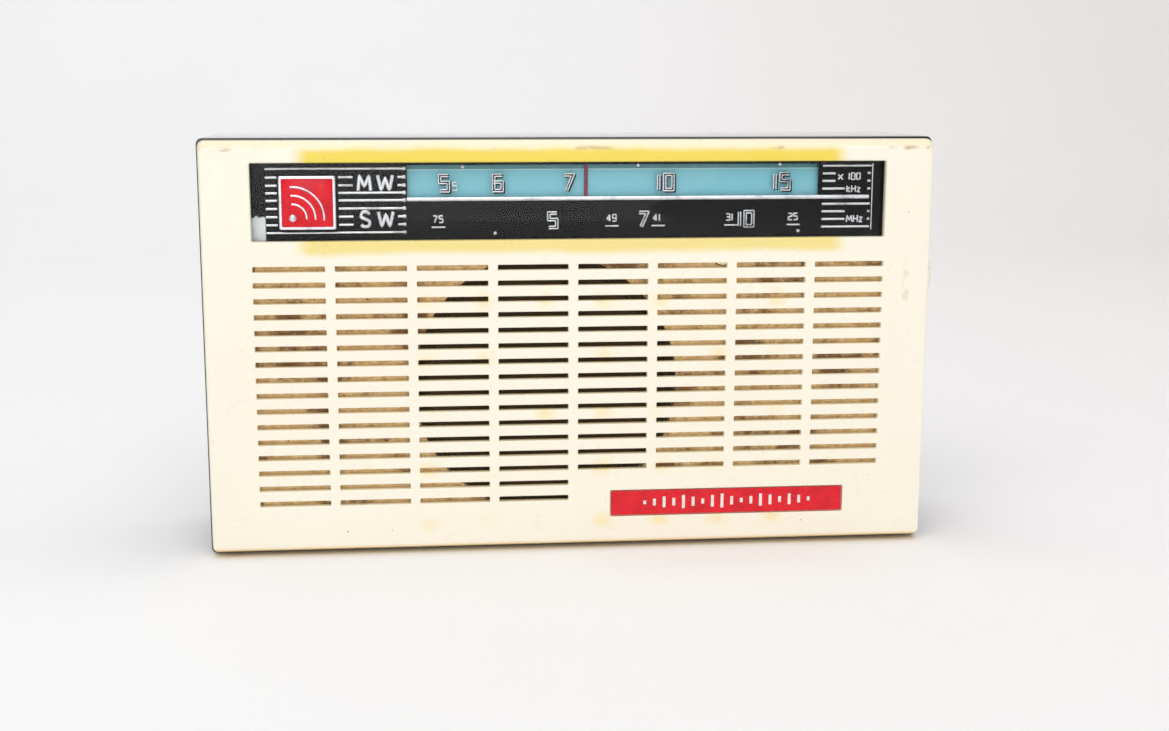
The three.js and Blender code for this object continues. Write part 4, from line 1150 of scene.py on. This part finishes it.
def cord_loop():
    """The drive cord's loop over three idlers and half way round the drum."""
    groove, drum_groove = 2.4, 8
    left, upper, lower = IDLERS.values()
    path = arc(*left, groove, 270, 90, 20)
    path += [(x, left[1] + groove) for x in (-40, 0, 40)]
    path += arc(*upper, groove, 90, 0, 12)
    path += arc(*TUNING, drum_groove, 0, -180, 40)
    path += arc(*lower, groove, 0, 90, 12)
    path += [(x, lower[1] + groove) for x in (40, 0, -40)]
    return tube("cord_loop", [path], 0.42, 1.0, CORD_Y, 3, closed=True)


finish_piece(cord_drum(), nylon, "tuning_drum", body="tuning_spindle")
for idler, axis in IDLERS.items():
    finish_piece(idler_pulley(idler, axis), brass, idler, body=idler)
finish_piece(cord_loop(), drive_cord, "dial_cord")


# ------------------------------------------------------------------ loudspeaker

SPEAKER = (-6.4, 41)


def speaker_frame():
    """A pressed steel basket with eight windows between its spokes."""
    basket = on_axis("speaker_frame", [
        (31.6, -15.9), (33.8, -15.9), (34, -15.7), (34, -15.1), (33.8, -14.9), (32.5, -14.9), (30.4, -13.9),
        (17.2, -2.7), (16.2, -2.2), (7.6, -2.2), (7.6, -2.9), (15.9, -3.0), (29.6, -14.4), (31.6, -15.4),
        (31.6, -15.9)], 128, SPEAKER)
    windows = []
    for i in range(8):
        middle = 2 * math.pi * (i + 0.5) / 8
        outline = around(SPEAKER, 18.5, [middle + 0.27 * share for share in (1, 0.5, 0, -0.5, -1)])
        outline += around(SPEAKER, 29, [middle + 0.31 * share for share in (-1, -0.5, 0, 0.5, 1)])
        windows.append([[(x, y, z) for x, z in outline] for y in (-16.5, -1)])
    cutter = loft_group("windows", windows)
    cut(cutter, rod("keep_rim", *SPEAKER, 40, -20, -13.6, 64))
    return smooth(cut(basket, cutter), 30)


def diaphragm():
    """The paper cone with its dust cap, rippled surround and voice coil tube, as one closed skin."""
    front = [(0, -10.4), (2, -10.2), (4, -9.6), (5.6, -8.7), (6.4, -8.1), (6.9, -8.2)]
    front += [(r, -8.2 - 7.0 * ((r - 6.9) / 20.5) ** 1.06) for r in (9, 12, 15, 18, 21, 24, 26, 27.4)]
    ripples = [27.9 + 0.14 * i for i in range(22)]
    front += [(r, -15.42 + 0.34 * math.sin((r - 27.9) * math.pi / 0.5)) for r in ripples]
    front.append((31.3, -15.7))
    back = [(31.3, -15.4)] + [(r, y + 0.34) for r, y in reversed(front[6:-1])]
    former = [(6.4, -7.2), (6.4, 1.5), (5.9, 1.5), (5.9, -7.9), (4, -9.2), (0, -9.9)]
    return smooth(on_axis("speaker_diaphragm", front + back + former, 128, SPEAKER), 50)


def magnet_ring():
    """A ceramic ring between two steel plates, with the gap for the voice coil."""
    return on_axis("speaker_magnet_ring", [
        (0, -1.9), (5.4, -1.9), (5.4, 3), (6.9, 3), (6.9, -1.9), (13.0, -1.9), (13.2, -1.7), (13.2, 0.2),
        (12.6, 0.25), (12.6, 0.5), (13.8, 0.55), (14, 0.8), (14, 6.6), (13.8, 6.85), (12.6, 6.9),
        (12.6, 7.15), (13.2, 7.2), (13.2, 9.0), (12.9, 9.3), (0, 9.3)], 96, SPEAKER)


finish_piece(speaker_frame(), plated_steel, "speaker_basket")
finish_piece(diaphragm(), cone_paper, "speaker_cone")
finish_piece(magnet_ring(), magnet, "speaker_magnet")


# ------------------------------------------------------------------ aerial rod and coils

ROD_Y, ROD_Z = 7, 89


def rod_profile(x0, x1, radius, edge):
    return [(0, x0), (radius - edge, x0), (radius, x0 + edge), (radius, x1 - edge), (radius - edge, x1),
            (0, x1)]


def coil(name, centre, length, pitch):
    """A card former with the wire's turns standing up as ridges between two bare ends."""
    bore, former, wire_top = 4.1, 4.9, 5.35
    x0, x1 = centre - length / 2, centre + length / 2
    bare = length * 0.12
    profile = [(bore, x0), (former, x0), (former, x0 + bare)]
    for i in range(int((length - 2 * bare) / pitch)):
        start = x0 + bare + i * pitch
        profile += [(former + 0.06, start + pitch * 0.05), (wire_top, start + pitch * 0.3),
                    (wire_top, start + pitch * 0.7), (former + 0.06, start + pitch * 0.95)]
    profile += [(former, x1 - bare), (former, x1), (bore, x1), (bore, x0)]
    return along_x(name, profile, 48, ROD_Y, ROD_Z)


finish_piece(along_x("ferrite_bar", rod_profile(-66, 62, 4, 0.5), 64, ROD_Y, ROD_Z), ferrite, "ferrite_rod")
finish_piece(coil("mw_winding_turns", 40, 30, 0.62), mw_winding, "mw_coil")
finish_piece(coil("sw_winding_turns", -36, 12, 1.15), mw_winding, "sw_coil")


# ------------------------------------------------------------------ screws

def threaded(radius, y0, y1, pitch=0.7, depth=0.22):
    """A shank's profile with thread ridges, from its tip."""
    core = radius - depth
    y = y0 + 0.7
    profile = [(0, y0), (radius * 0.45, y0), (core, y)]
    while y + pitch < y1 - 0.8:
        profile += [(core, y), (radius, y + pitch * 0.4), (radius, y + pitch * 0.55),
                    (core, y + pitch * 0.95)]
        y += pitch
    return profile + [(core, y1 - 0.5), (core, y1)]


def slotted_screw(name, axis, profile, slot_from, slot_half):
    screw = on_axis(name + "_fine", profile, 48, axis)
    reach = max(radius for radius, _ in profile) + 1
    x, z = axis
    return smooth(cut(screw, box("slot", x - reach, x + reach, slot_from, slot_from + 4, z - slot_half,
                                 z + slot_half)))


def small_screw(name, axis, seat):
    """A slotted screw whose head rests at `seat`, pointing forwards."""
    head, shank = 2.45, 1.18
    top = seat + 1.55
    profile = threaded(shank, seat - 6.2, seat)
    profile += [(shank, seat + 0.02), (head, seat + 0.02), (head, seat + 0.75), (head - 0.25, top - 0.35),
                (head - 1.0, top - 0.06), (0, top)]
    finish_piece(slotted_screw(name, axis, profile, top - 0.7, 0.3), plated_steel, name)


for number, axis in enumerate(BOARD_POSTS, 1):
    small_screw(f"board_screw_{number}", axis, 5.0)
for side, axis in zip(("left", "right"), BRACKET_POSTS):
    small_screw("bracket_screw_" + side, axis, -9.6)

coin_screw = threaded(1.55, 3.6, 17.6, 0.8, 0.25)
coin_screw += [(1.55, 17.9), (4.4, 17.9), (4.5, 18.0), (4.5, 19.4), (4.3, 19.7), (3.9, 19.8), (0, 19.8)]
finish_piece(slotted_screw("cover_screw", (0, SCREW_Z), coin_screw, 18.7, 0.6), chrome, "cover_screw",
             body="cover_screw", slot="plated_steel")


# ------------------------------------------------------------------ battery and its leads

BATTERY = {"x0": -80, "x1": -53.5, "y0": -1, "y1": 16.5, "z0": 6.2, "z1": 52.6}
BATTERY_X = (BATTERY["x0"] + BATTERY["x1"]) / 2
BATTERY_Y = (BATTERY["y0"] + BATTERY["y1"]) / 2
STUD_OFF = 6.35  # half the distance between the two studs


def stacked(name, levels, steps=6):
    """A loft upwards: each level is (x0, x1, y0, y1, corner radius, z)."""
    rings = []
    for x0, x1, y0, y1, radius, z in levels:
        rings.append([(x, y, z) for x, y in rounded_rectangle(x0, x1, y0, y1, radius, steps)])
    return loft(name, rings)


def battery_level(inset, z):
    b = BATTERY
    radius = max(1.5 - inset * 0.4, 0.5)
    return (b["x0"] + inset, b["x1"] - inset, b["y0"] + inset, b["y1"] - inset, radius, z)


def battery_jacket():
    """A steel jacket rolled over at both ends, with a shallow step behind each rolled edge."""
    rim = [(1.3, 0.5), (0.9, 0.45), (0.7, 0.05), (0.35, 0), (0.05, 0.25), (0, 0.7), (0, 1.6), (0.18, 1.9)]
    levels = [battery_level(inset, BATTERY["z0"] + up) for inset, up in rim]
    levels += [battery_level(inset, BATTERY["z1"] - down) for inset, down in reversed(rim)]
    return smooth(stacked("battery_jacket", levels), 30)


def battery_contact(name, side, sides, profile):
    """A stud or crown on top of the battery; the profile's heights start at the battery's top."""
    raised = [(radius, BATTERY["z1"] + up) for radius, up in profile]
    contact = turned(name, raised, sides, (BATTERY_X + side * STUD_OFF, BATTERY_Y, 0), "Z")
    finish_piece(contact, chrome, slot="plated_steel")


def battery_connector():
    """The snap plate over the studs, with a dent above each."""
    levels = []
    for long, wide, radius, z in ((12.2, 5.2, 2.8, 54.9), (12.5, 5.5, 3, 55.2), (12.5, 5.5, 3, 56.7),
                                  (12.1, 5.1, 2.8, 57.15), (11.6, 4.6, 2.6, 57.3)):
        levels.append((BATTERY_X - long, BATTERY_X + long, BATTERY_Y - wide, BATTERY_Y + wide, radius, z))
    snap = stacked("battery_connector", levels, 8)
    dent = [(0, 57.05), (2.6, 57.05), (2.8, 57.6), (0, 57.6)]
    for side in (-1, 1):
        cut(snap, turned("dent", dent, 32, (BATTERY_X + side * STUD_OFF, BATTERY_Y, 0), "Z"))
    return smooth(snap)


finish_piece(battery_jacket(), battery_can, "battery")
end_levels = [battery_level(inset, BATTERY["z1"] - down)
              for inset, down in ((1.0, 0.6), (1.0, 0.25), (1.2, 0.15))]
finish_piece(smooth(stacked("battery_end_plate", end_levels)), black_moulding, slot="black_plastic")
battery_contact("battery_stud", -1, 48, [
    (0, -0.2), (3.4, -0.2), (3.4, 0.1), (2.7, 0.25), (2.35, 0.6), (2.35, 1.1), (2.7, 1.4), (2.7, 1.75),
    (2.4, 1.95), (0, 1.95)])
battery_contact("battery_crown", 1, 6, [
    (0, -0.2), (3.7, -0.2), (3.7, 1.4), (3.3, 1.95), (2.9, 1.95), (2.9, 0.5), (0, 0.5)])
finish_piece(battery_connector(), black_moulding, "battery_snap", slot="black_plastic")

LEADS = {
    "red": [(-64, 8, 57.6), (-63.4, 8, 63), (-56, 7.2, 68), (-44, 6.2, 69.6), (-26, 5.4, 70.2),
            (-6, 5.2, 69.8), (14, 5.6, 70), (26, 6.8, 69.2), (33, 8.2, 67.6), (34.6, 7.8, 66.8),
            (35.2, 5.3, 66.4)],
    "black": [(-60, 8, 57.6), (-59.2, 8, 60.5), (-54, 7.4, 64.6), (-45, 6.4, 66.8), (-27, 5.6, 67.6),
              (-6, 5.4, 67), (14, 5.8, 67.4), (25, 7, 66.6), (32, 8.4, 64.8), (34, 7.8, 63.8),
              (34.6, 5.3, 63.2)],
}


def smooth_path(points, steps=8):
    """A curve through all the points, without corners."""
    path = []
    points = [Vector(p) for p in points]
    ends = [2 * points[0] - points[1]] + points + [2 * points[-1] - points[-2]]
    for a, b, c, d in zip(ends, ends[1:], ends[2:], ends[3:]):
        for step in range(steps):
            t = step / steps
            path.append(0.5 * ((2 * b) + (c - a) * t + (2 * a - 5 * b + 4 * c - d) * t ** 2
                               + (3 * b - a - 3 * c + d) * t ** 3))
    path.append(points[-1])
    return path


def wire(name, path, radius):
    return tube(name, [[tuple(p) for p in path]], radius)


for tone, insulation in (("red", red_wire), ("black", black_wire)):
    path = smooth_path(LEADS[tone])
    lead = finish_piece(wire("battery_wire_" + tone, path, 0.6), insulation, "battery_lead_" + tone)


# ------------------------------------------------------------------ parts on the circuit board

BOARD_FACE = 5.0
CANS = {"if_can_1": (39, 56), "if_can_2": (39, 42), "if_can_3": (39, 28), "oscillator_can": (56, 58)}
SLUG_TONES = {"if_can_1": linear(214, 190, 60), "if_can_2": linear(226, 224, 218),
              "if_can_3": linear(60, 58, 60), "oscillator_can": linear(190, 48, 40)}
TRANSISTORS = [(49, 47.5), (50, 36), (50, 24), (59.5, 46), (60, 12), (48, 12)]
TRANSFORMERS = {"driver_transformer": (72.4, 24), "output_transformer": (73.4, 44)}
RESISTORS = [(38, 19.6), (38, 16), (38, 12.4), (50, 5.7), (61, 5.7), (71, 12), (71, 8.4), (71, 15.3),
             (73, 32.3), (73, 35.7), (60.6, 37.7), (60.2, 21.3), (59.7, 66.6), (59.7, 70.1), (59.7, 73.6),
             (45, 77.1), (57, 77.1)]
RESISTOR_Y = 6.5
CERAMICS = [(47.5, 55), (47.5, 61.5), (46.2, 30), (46.2, 41.8), (62.6, 56.5), (55.3, 30.2)]
BAND_TONES = {"brown": linear(96, 54, 28), "red": linear(196, 34, 30), "yellow": linear(228, 190, 40),
              "gold": linear(190, 150, 70)}


def darker(tone, share):
    return tuple(value * share for value in tone[:3]) + (1,)


def square(x, z, half, radius, y):
    return ring(x - half, x + half, z - half, z + half, radius, y)


def shielded_coil(name, x, z):
    """A square can with a hole in its end, and the slotted slug inside that tunes it."""
    can = loft(name + "_fine", [square(x, z, half, radius, y) for half, radius, y in (
        (4.9, 0.9, 5.3), (5, 1, 5.5), (5, 1, 15.5), (4.85, 1, 15.85), (4.5, 0.9, 16))])
    cut(can, rod("can_hole", x, z, 2.1, 14.2, 17, 40))
    finish_piece(smooth(can, 30), aluminium, name)
    core = [(0, 13.6), (1.95, 13.6), (1.95, 15.2), (1.7, 15.45), (0, 15.45)]
    slug = on_axis(name + "_slug", core, 32, (x, z))
    cut(slug, box("slot", x - 1.3, x + 1.3, 14.8, 16, z - 0.22, z + 0.22))
    tone = SLUG_TONES[name]
    paint = speckled_material(name + "_slug_tone", tone, darker(tone, 0.7), 0.6, 0.6)
    finish_piece(smooth(slug), paint, slot="ferrite")


def transistor(name, x, z):
    """A round metal can on three legs, each with a glass bead."""
    can = on_axis(name + "_can", [
        (0, 6.8), (4.45, 6.8), (4.6, 6.95), (4.6, 7.3), (4.4, 7.5), (4.0, 7.6), (3.9, 7.8), (3.9, 12.2),
        (3.75, 12.65), (3.4, 12.9), (2.6, 13.0), (0, 13.0)], 56, (x, z))
    finish_piece(can, plated_steel, name)
    feet = around((x, z), 1.6, (0.5, 2.6, 4.7))
    legs = rods(name + "_legs", [(*foot, 0.26, 5.02, 6.85, 12) for foot in feet])
    finish_piece(smooth(legs), solder, slot="plated_steel")
    beads = rods(name + "_beads", [(*foot, 0.62, 6.3, 6.78, 16) for foot in feet])
    finish_piece(smooth(beads), black_moulding, slot="black_plastic")


def transformer(name, x, z):
    """A stack of steel plates round a bobbin, whose winding shows in front of and behind the core."""
    count = 14
    thick = 12 / count
    plates = []
    for i in range(count):
        low, high = z - 6 + i * thick + 0.04, z - 6 + (i + 1) * thick - 0.04
        for x0, x1, y0, y1 in ((-7, -4.7, 7, 14), (4.7, 7, 7, 14), (-4.7, 4.7, 9.2, 11.8)):
            plates.append(box_data(x + x0, x + x1, y0, y1, low, high))
    finish_piece(several(name + "_core", plates), plated_steel, name)
    cheeks = [plate("cheek", x - 4.6, x + 4.6, z - 5, z + 5, 1.2, *levels)
              for levels in ((5.3, 6.0), (15.1, 15.8))]
    finish_piece(merge(name + "_bobbin", *cheeks), nylon)
    turns = [plate("turns", x - 4.3, x + 4.3, z - 4.7, z + 4.7, 1.4, *levels)
             for levels in ((5.95, 9.1), (11.9, 15.15))]
    enamelled = winding_material(name + "_wire", linear(150, 84, 40), linear(92, 44, 20), 0.35, "y")
    finish_piece(merge(name + "_winding", *turns), enamelled, slot="litz_winding")


def band_material(name, tone):
    return speckled_material(name, tone, darker(tone, 0.75), 0.8, 0.4, depth=0.01)


def both_ways(half, x):
    """A profile of (radius, distance from the middle) pairs, laid out on both sides of x."""
    return [(r, x - along) for r, along in half] + [(r, x + along) for r, along in reversed(half)]


def resistors():
    """Resistors lying on the board: waisted bodies, painted bands and bent legs."""
    bodies = []
    legs = []
    bands = {tone: [] for tone in BAND_TONES}
    draw = random.Random(7)
    half_body = [(0, 3.2), (0.8, 3.2), (1.05, 2.95), (1.12, 2.5), (1.08, 1.9), (0.92, 1.6)]
    for x, z in RESISTORS:
        body = both_ways(half_body, x)
        bodies.append(along_x("resistor", body, 28, RESISTOR_Y, z))
        for place in (-2.2, -0.9, 0.0, 1.0):
            tone = "gold" if place == 1.0 else draw.choice(("brown", "red", "yellow"))
            radius = 1.13 if abs(place) > 2 else 0.95
            x0, x1 = x + place - 0.25, x + place + 0.25
            band = [(0.5, x0), (radius, x0), (radius, x1), (0.5, x1), (0.5, x0)]
            bands[tone].append(along_x("band", band, 28, RESISTOR_Y, z))
        for side in (-1, 1):
            bend = [(x + side * 3.0, RESISTOR_Y, z), (x + side * 3.9, RESISTOR_Y, z),
                    (x + side * 4.35, RESISTOR_Y - 0.4, z), (x + side * 4.35, BOARD_FACE + 0.02, z)]
            legs.append([tuple(p) for p in round_path(bend, 0.35, 3)])
    tan = band_material("resistor_tan", linear(196, 160, 116))
    finish_piece(merge("resistor_bodies", *bodies), tan, slot="laminate")
    finish_piece(tube("resistor_legs", legs, 0.24), solder, slot="plated_steel")
    for tone, painted in bands.items():
        paint = band_material("band_" + tone, BAND_TONES[tone])
        finish_piece(merge("resistor_bands_" + tone, *painted), paint, slot="laminate")


def ceramic_capacitors():
    """Disc capacitors standing on two legs each."""
    half_disc = [(0, 0.85), (1.2, 0.8), (2.0, 0.55), (2.3, 0.1)]
    discs = []
    legs = []
    for x, z in CERAMICS:
        disc = both_ways(half_disc, x)
        discs.append(along_x("disc", disc, 40, 8.6, z))
        for side in (-1, 1):
            foot = z + side * 1.25
            legs.append([(x, 6.6, foot), (x, BOARD_FACE + 0.02, foot)])
    orange = band_material("ceramic_orange", linear(206, 132, 62))
    finish_piece(merge("ceramic_discs", *discs), orange, slot="laminate")
    finish_piece(tube("ceramic_legs", legs, 0.24), solder, slot="plated_steel")


for name, place in CANS.items():
    shielded_coil(name, *place)
for number, place in enumerate(TRANSISTORS, 1):
    transistor(f"transistor_{number}", *place)
finish_piece(on_axis("electrolytic_can", [
    (0, 5.3), (3.2, 5.3), (3.2, 5.6), (3.9, 5.7), (4, 5.9), (4, 13.3), (3.85, 13.6), (3.6, 13.9), (3.6, 14.1),
    (3.85, 14.4), (4, 14.7), (4, 15.4), (3.8, 15.7), (3.2, 15.8), (3.0, 15.55), (0, 15.5)], 64, (60, 30)),
    aluminium, "electrolytic_capacitor")
for name, place in TRANSFORMERS.items():
    transformer(name, *place)
resistors()
ceramic_capacitors()
fillet = [(0, 5.02), (1.25, 5.02), (1.0, 5.22), (0.75, 5.7), (0.66, 6.0), (0, 6.0)]
fillets = [on_axis("fillet", fillet, 24, (path[-1][0], path[-1][2])) for path in LEADS.values()]
finish_piece(merge("solder_fillets", *fillets), solder, slot="plated_steel")


# ------------------------------------------------------------------ tuning capacitor

def half_ring(inner, outer, middle, y0, y1, steps=36):
    """Half a flat ring round the tuning shaft, centred on the direction `middle` in degrees."""
    outline = arc(*TUNING, inner, middle - 90, middle + 90, steps)
    outline += reversed(arc(*TUNING, outer, middle - 90, middle + 90, steps))
    return loft_data([[(x, y, z) for x, z in outline] for y in (y0, y1)])


def vanes(name, inner, outer, middle, first_y, count):
    """Thin half rings side by side, which mesh with the other set."""
    pitch, thick = 1.7, 0.5
    plates = []
    for i in range(count):
        y = first_y + pitch * i
        plates.append(half_ring(inner, outer, middle, y, y + thick))
    return smooth(clean(several(name, plates)))


finish_piece(vanes("rotor_vanes", 2.2, 7, 103.9, 7.5, 5), aluminium, "gang_rotor", body="gang_rotor")
finish_piece(on_axis("rotor_shaft", [
    (0, 0), (1.2, 0), (1.45, 0.25), (1.45, 6.7), (2.4, 6.75), (2.4, 7.4), (2.15, 7.5), (2.15, 14.9),
    (2.4, 15.0), (2.4, 15.1), (1.45, 15.15), (1.45, 16.0), (1.2, 16.2), (0, 16.2)], 40, TUNING),
    brass, body="gang_rotor", slot="spun_aluminium")
finish_piece(vanes("stator_vanes", 2.8, 8.4, 180, 8.35, 4), aluminium, "gang_stator")
stator_post = box("stator_post", TUNING[0] - 9.6, TUNING[0] - 7.7, 6.6, 15.2, TUNING[1] - 3, TUNING[1] + 3)
finish_piece(bevel(stator_post, 0.2), nylon, slot="spun_aluminium")


# ------------------------------------------------------------------ volume control, sockets and switch

def volume_tags():
    x, z = VOLUME
    tags = []
    for side in (-1, 0, 1):
        middle = x + side * 3.6
        tags.append(box_data(middle - 0.7, middle + 0.7, 1.7, 2.1, z - 8.4, z - 5.6))
    return bevel(several("volume_pot_tags", tags), 0.08)


def socket(name, height, bore):
    """A moulded body with a plated collar in the case's side."""
    body = [(0, -75), (3.9, -75), (4.2, -75.3), (4.2, -82.4), (3.9, -82.7), (bore + 0.1, -82.7),
            (bore + 0.1, -76.5), (0, -76.5)]
    moulding = along_x(name + "_body", body, 56, SOCKET_Y, height)
    finish_piece(moulding, black_moulding, name, slot="black_plastic")
    collar = [(bore, -76.6), (bore, -84.3), (bore + 0.25, -84.6), (2.55, -84.6), (2.9, -84.3), (2.9, -82.6),
              (bore + 0.3, -82.6), (bore + 0.08, -82.6), (bore + 0.08, -76.6), (bore, -76.6)]
    finish_piece(along_x(name + "_collar", collar, 56, SOCKET_Y, height), chrome, slot="plated_steel")


def switch_knob():
    """The slide switch's knob, with three grip grooves, on its stem."""
    knob = slab("switch_knob", 41.5, 45.5, 16.8, 19.7, 68, 72, 0.6, 0.3)
    grooves = [box_data(41.6 + 0.95 * i, 41.95 + 0.95 * i, 19.35, 21, 67, 73) for i in range(1, 4)]
    cut(knob, clean(several("grooves", grooves)))
    return smooth(join(knob, box("knob_stem", 42, 45, 8.4, 17, 68.8, 71.2)), 30)


finish_piece(on_axis("volume_pot_can", [
    (1.8, -3.5), (6.2, -3.5), (6.5, -3.2), (6.5, -2.6), (6.3, -2.4), (6.3, 2.4), (6.1, 2.7), (5.4, 2.75),
    (5.2, 3.1), (1.8, 3.1), (1.8, -3.5)], 72, VOLUME), plated_steel, "volume_pot")
finish_piece(volume_tags(), solder, slot="plated_steel")
for (name, height), bore in zip(SOCKETS.items(), (1.8, 1.5)):
    socket(name, height, bore)
finish_piece(switch_knob(), ivory_wheel, "band_switch_knob", body="band_switch_slider", slot="ivory_plastic")


# ------------------------------------------------------------------ pointer and its rail

POINTER_X = 3.3
RAIL_Y, RAIL_Z = -13.9, 81.2


def pointer_block():
    """The carriage on the rail, with the clamp that grips the cord."""
    block = box("pointer_block", POINTER_X - 5, POINTER_X + 5, -15.3, -12.4, 79.7, 82.7)
    join(block, box("clamp", POINTER_X - 2, POINTER_X + 2, -15.25, -11.3, 82.0, 84.35))
    x0, x1 = POINTER_X - 7, POINTER_X + 7
    cut(block, along_x("rail_bore", [(0, x0), (1.1, x0), (1.1, x1), (0, x1)], 32, RAIL_Y, RAIL_Z))
    cut(block, along_x("cord_bore", [(0, x0), (0.62, x0), (0.62, x1), (0, x1)], 24, CORD_Y, 83.4))
    return bevel(block, 0.15)


def pointer_needle():
    levels = []
    for half, low, high, radius, y in ((0.32, 80.6, 93.9, 0.15, -16), (0.42, 80.5, 94, 0.2, -15.85),
                                       (0.42, 80.5, 94, 0.2, -15.6)):
        levels.append(ring(POINTER_X - half, POINTER_X + half, low, high, radius, y))
    needle = loft("pointer_needle", levels)
    join(needle, box("needle_foot", POINTER_X - 0.9, POINTER_X + 0.9, -15.8, -15.28, 80.5, 84.4))
    return smooth(needle, 30)


finish_piece(along_x("pointer_rail", rod_profile(-66.9, 65, 0.8, 0.2), 32, RAIL_Y, RAIL_Z), plated_steel,
             "guide_rail")
finish_piece(pointer_block(), nylon, "pointer", body="pointer_carriage", slot="pointer_maroon")
finish_piece(pointer_needle(), maroon, body="pointer_carriage")


# ------------------------------------------------------------------ speaker leads

tag_base = box("speaker_tag_strip", 12.4, 19.6, -6.2, -4.9, 26.2, 29.0)
finish_piece(bevel(tag_base, 0.2), laminate)
for side, tone, paint in ((-1, "green", linear(52, 120, 70)), (1, "grey", linear(150, 148, 144))):
    insulation = speckled_material("speaker_" + tone, paint, darker(paint, 0.7), 2, 0.45)
    z = 27.6 + side * 0.9
    route = [(19.4, -4.6, z), (21.5, -3.2, z - 0.4), (24.5, 0.5, z - 1.4), (27.5, 4.2, z - 2.2),
             (29.8, 6.6, z - 2.6), (31.6, 7.2, z - 2.8), (32.6, 6.2, z - 2.9), (32.8, 5.1, z - 2.9)]
    finish_piece(wire("speaker_wire_" + tone, smooth_path(route), 0.45), insulation, slot="black_wire")


# ------------------------------------------------------------------ carried-over CAD pieces

CARRIED = {  # material, and the width of the softened edges
    "dial_backing": (dial_teal, 0.1),
    "drive_bracket": (plated_steel, 0.12),
    "gang_frame": (aluminium, 0.12),
    "baffle_board": (fibreboard, 0.15),
    "circuit_board": (laminate, 0.12),
    "band_switch_body": (plated_steel, 0.2),
    "rod_holder_left": (nylon, 0.2),
    "rod_holder_right": (nylon, 0.2),
    "battery_tray": (nylon, 0.25),
    "cover_pillar": (brass, 0.15),
}

for name, (material, rounding) in CARRIED.items():
    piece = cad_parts[name]
    piece.data.materials.clear()
    piece.data.materials.append(material)
    weld = piece.modifiers.new("weld", "WELD")
    weld.merge_threshold = 0.002 * MM
    edges = piece.modifiers.new("rounded_edges", "BEVEL")
    edges.width = rounding * MM
    edges.segments = 2
    edges.limit_method = "ANGLE"
    edges.angle_limit = math.radians(40)


# ------------------------------------------------------------------ stage, lights and camera

def sweep():
    """A pale floor that curves up into a backdrop, with painted shade towards the right; its sizes are in
    metres.
    """
    near, bend_y, bend, top, half = -5.0, 0.55, 0.5, 2.2, 4.0
    profile = [(near, 0.0), (bend_y, 0.0)]
    for step in range(1, 17):
        turn = math.pi / 2 * step / 16
        profile.append((bend_y + bend * math.sin(turn), bend * (1 - math.cos(turn))))
    profile.append((bend_y + bend, top))
    vertices = [(x / MM, y / MM, z / MM) for x in (-half, half) for y, z in profile]
    count = len(profile)
    faces = [(i, i + 1, count + i + 1, count + i) for i in range(count - 1)]
    floor = mesh_object("floor", vertices, faces)
    floor.data.shade_smooth()
    s = Shader("floor_paper", linear(244, 244, 245), roughness=0.85)
    paper = s.mix(s.noise(160, detail=3), linear(245, 245, 246), linear(249, 249, 250))
    # painted shade: towards the right the floor and backdrop darken, in a warmer tone
    shaded_warm_right = s.mix(s.noise(160, detail=3), linear(240, 236, 235), linear(243, 240, 238))
    s.colour(s.mix(s.rise(s.x, -200, 500), paper, shaded_warm_right))
    floor.data.materials.append(s.material)


def area_light(name, place, target, size, power):
    """A soft rectangular lamp at `place`, aimed at `target`, both in metres."""
    lamp = bpy.data.lights.new(name, "AREA")
    lamp.shape = "RECTANGLE"
    lamp.size, lamp.size_y = size
    lamp.energy = power
    holder = new_object(name, lamp)
    holder.location = place
    aim = Vector(target) - Vector(place)
    holder.rotation_euler = aim.to_track_quat("-Z", "Y").to_euler()


def pale_world(strength):
    world = bpy.data.worlds.new("studio")
    world.use_nodes = True
    background = world.node_tree.nodes["Background"]
    background.inputs["Color"].default_value = (1, 1, 1, 1)
    background.inputs["Strength"].default_value = strength
    bpy.context.scene.world = world


def aimed_camera(place, target, lens, roll):
    """The scene's camera, turned by `roll` degrees about its own axis."""
    data = bpy.data.cameras.new("camera")
    data.lens = lens
    data.sensor_width = 36
    data.clip_start = 0.01
    camera = new_object("camera", data)
    camera.location = place
    camera.rotation_mode = "QUATERNION"
    camera.rotation_quaternion = (Vector(target) - camera.location).to_track_quat("-Z", "Y")
    bpy.context.view_layer.update()
    camera.matrix_world = camera.matrix_world @ Matrix.Rotation(math.radians(roll), 4, "Z")
    bpy.context.scene.camera = camera


sweep()
area_light("key_light", (-0.25, -0.95, 1.15), (0, 0, 0.04), (1.5, 1.1), 10)
area_light("top_light", (0.1, 0.15, 1.3), (0, 0.05, 0.05), (1.6, 1.2), 5.2)
area_light("front_light", (-0.1, -1.3, 0.2), (0, 0, 0.05), (1.2, 0.5), 3.2)
area_light("fill_light", (1.1, -0.8, 0.6), (0, 0, 0.05), (0.9, 0.9), 1.2)
area_light("backdrop_light", (0.0, 0.2, 1.0), (0, 1.0, 0.5), (1.8, 0.5), 1.5)
pale_world(0.36)
aimed_camera((-0.0374, -0.4130, 0.1215), (0.00266, -0.020, 0.0457), lens=51.83, roll=0.168)

view_settings = bpy.context.scene.view_settings
view_settings.view_transform = "Standard"
view_settings.look = "None"
view_settings.exposure = 0.0
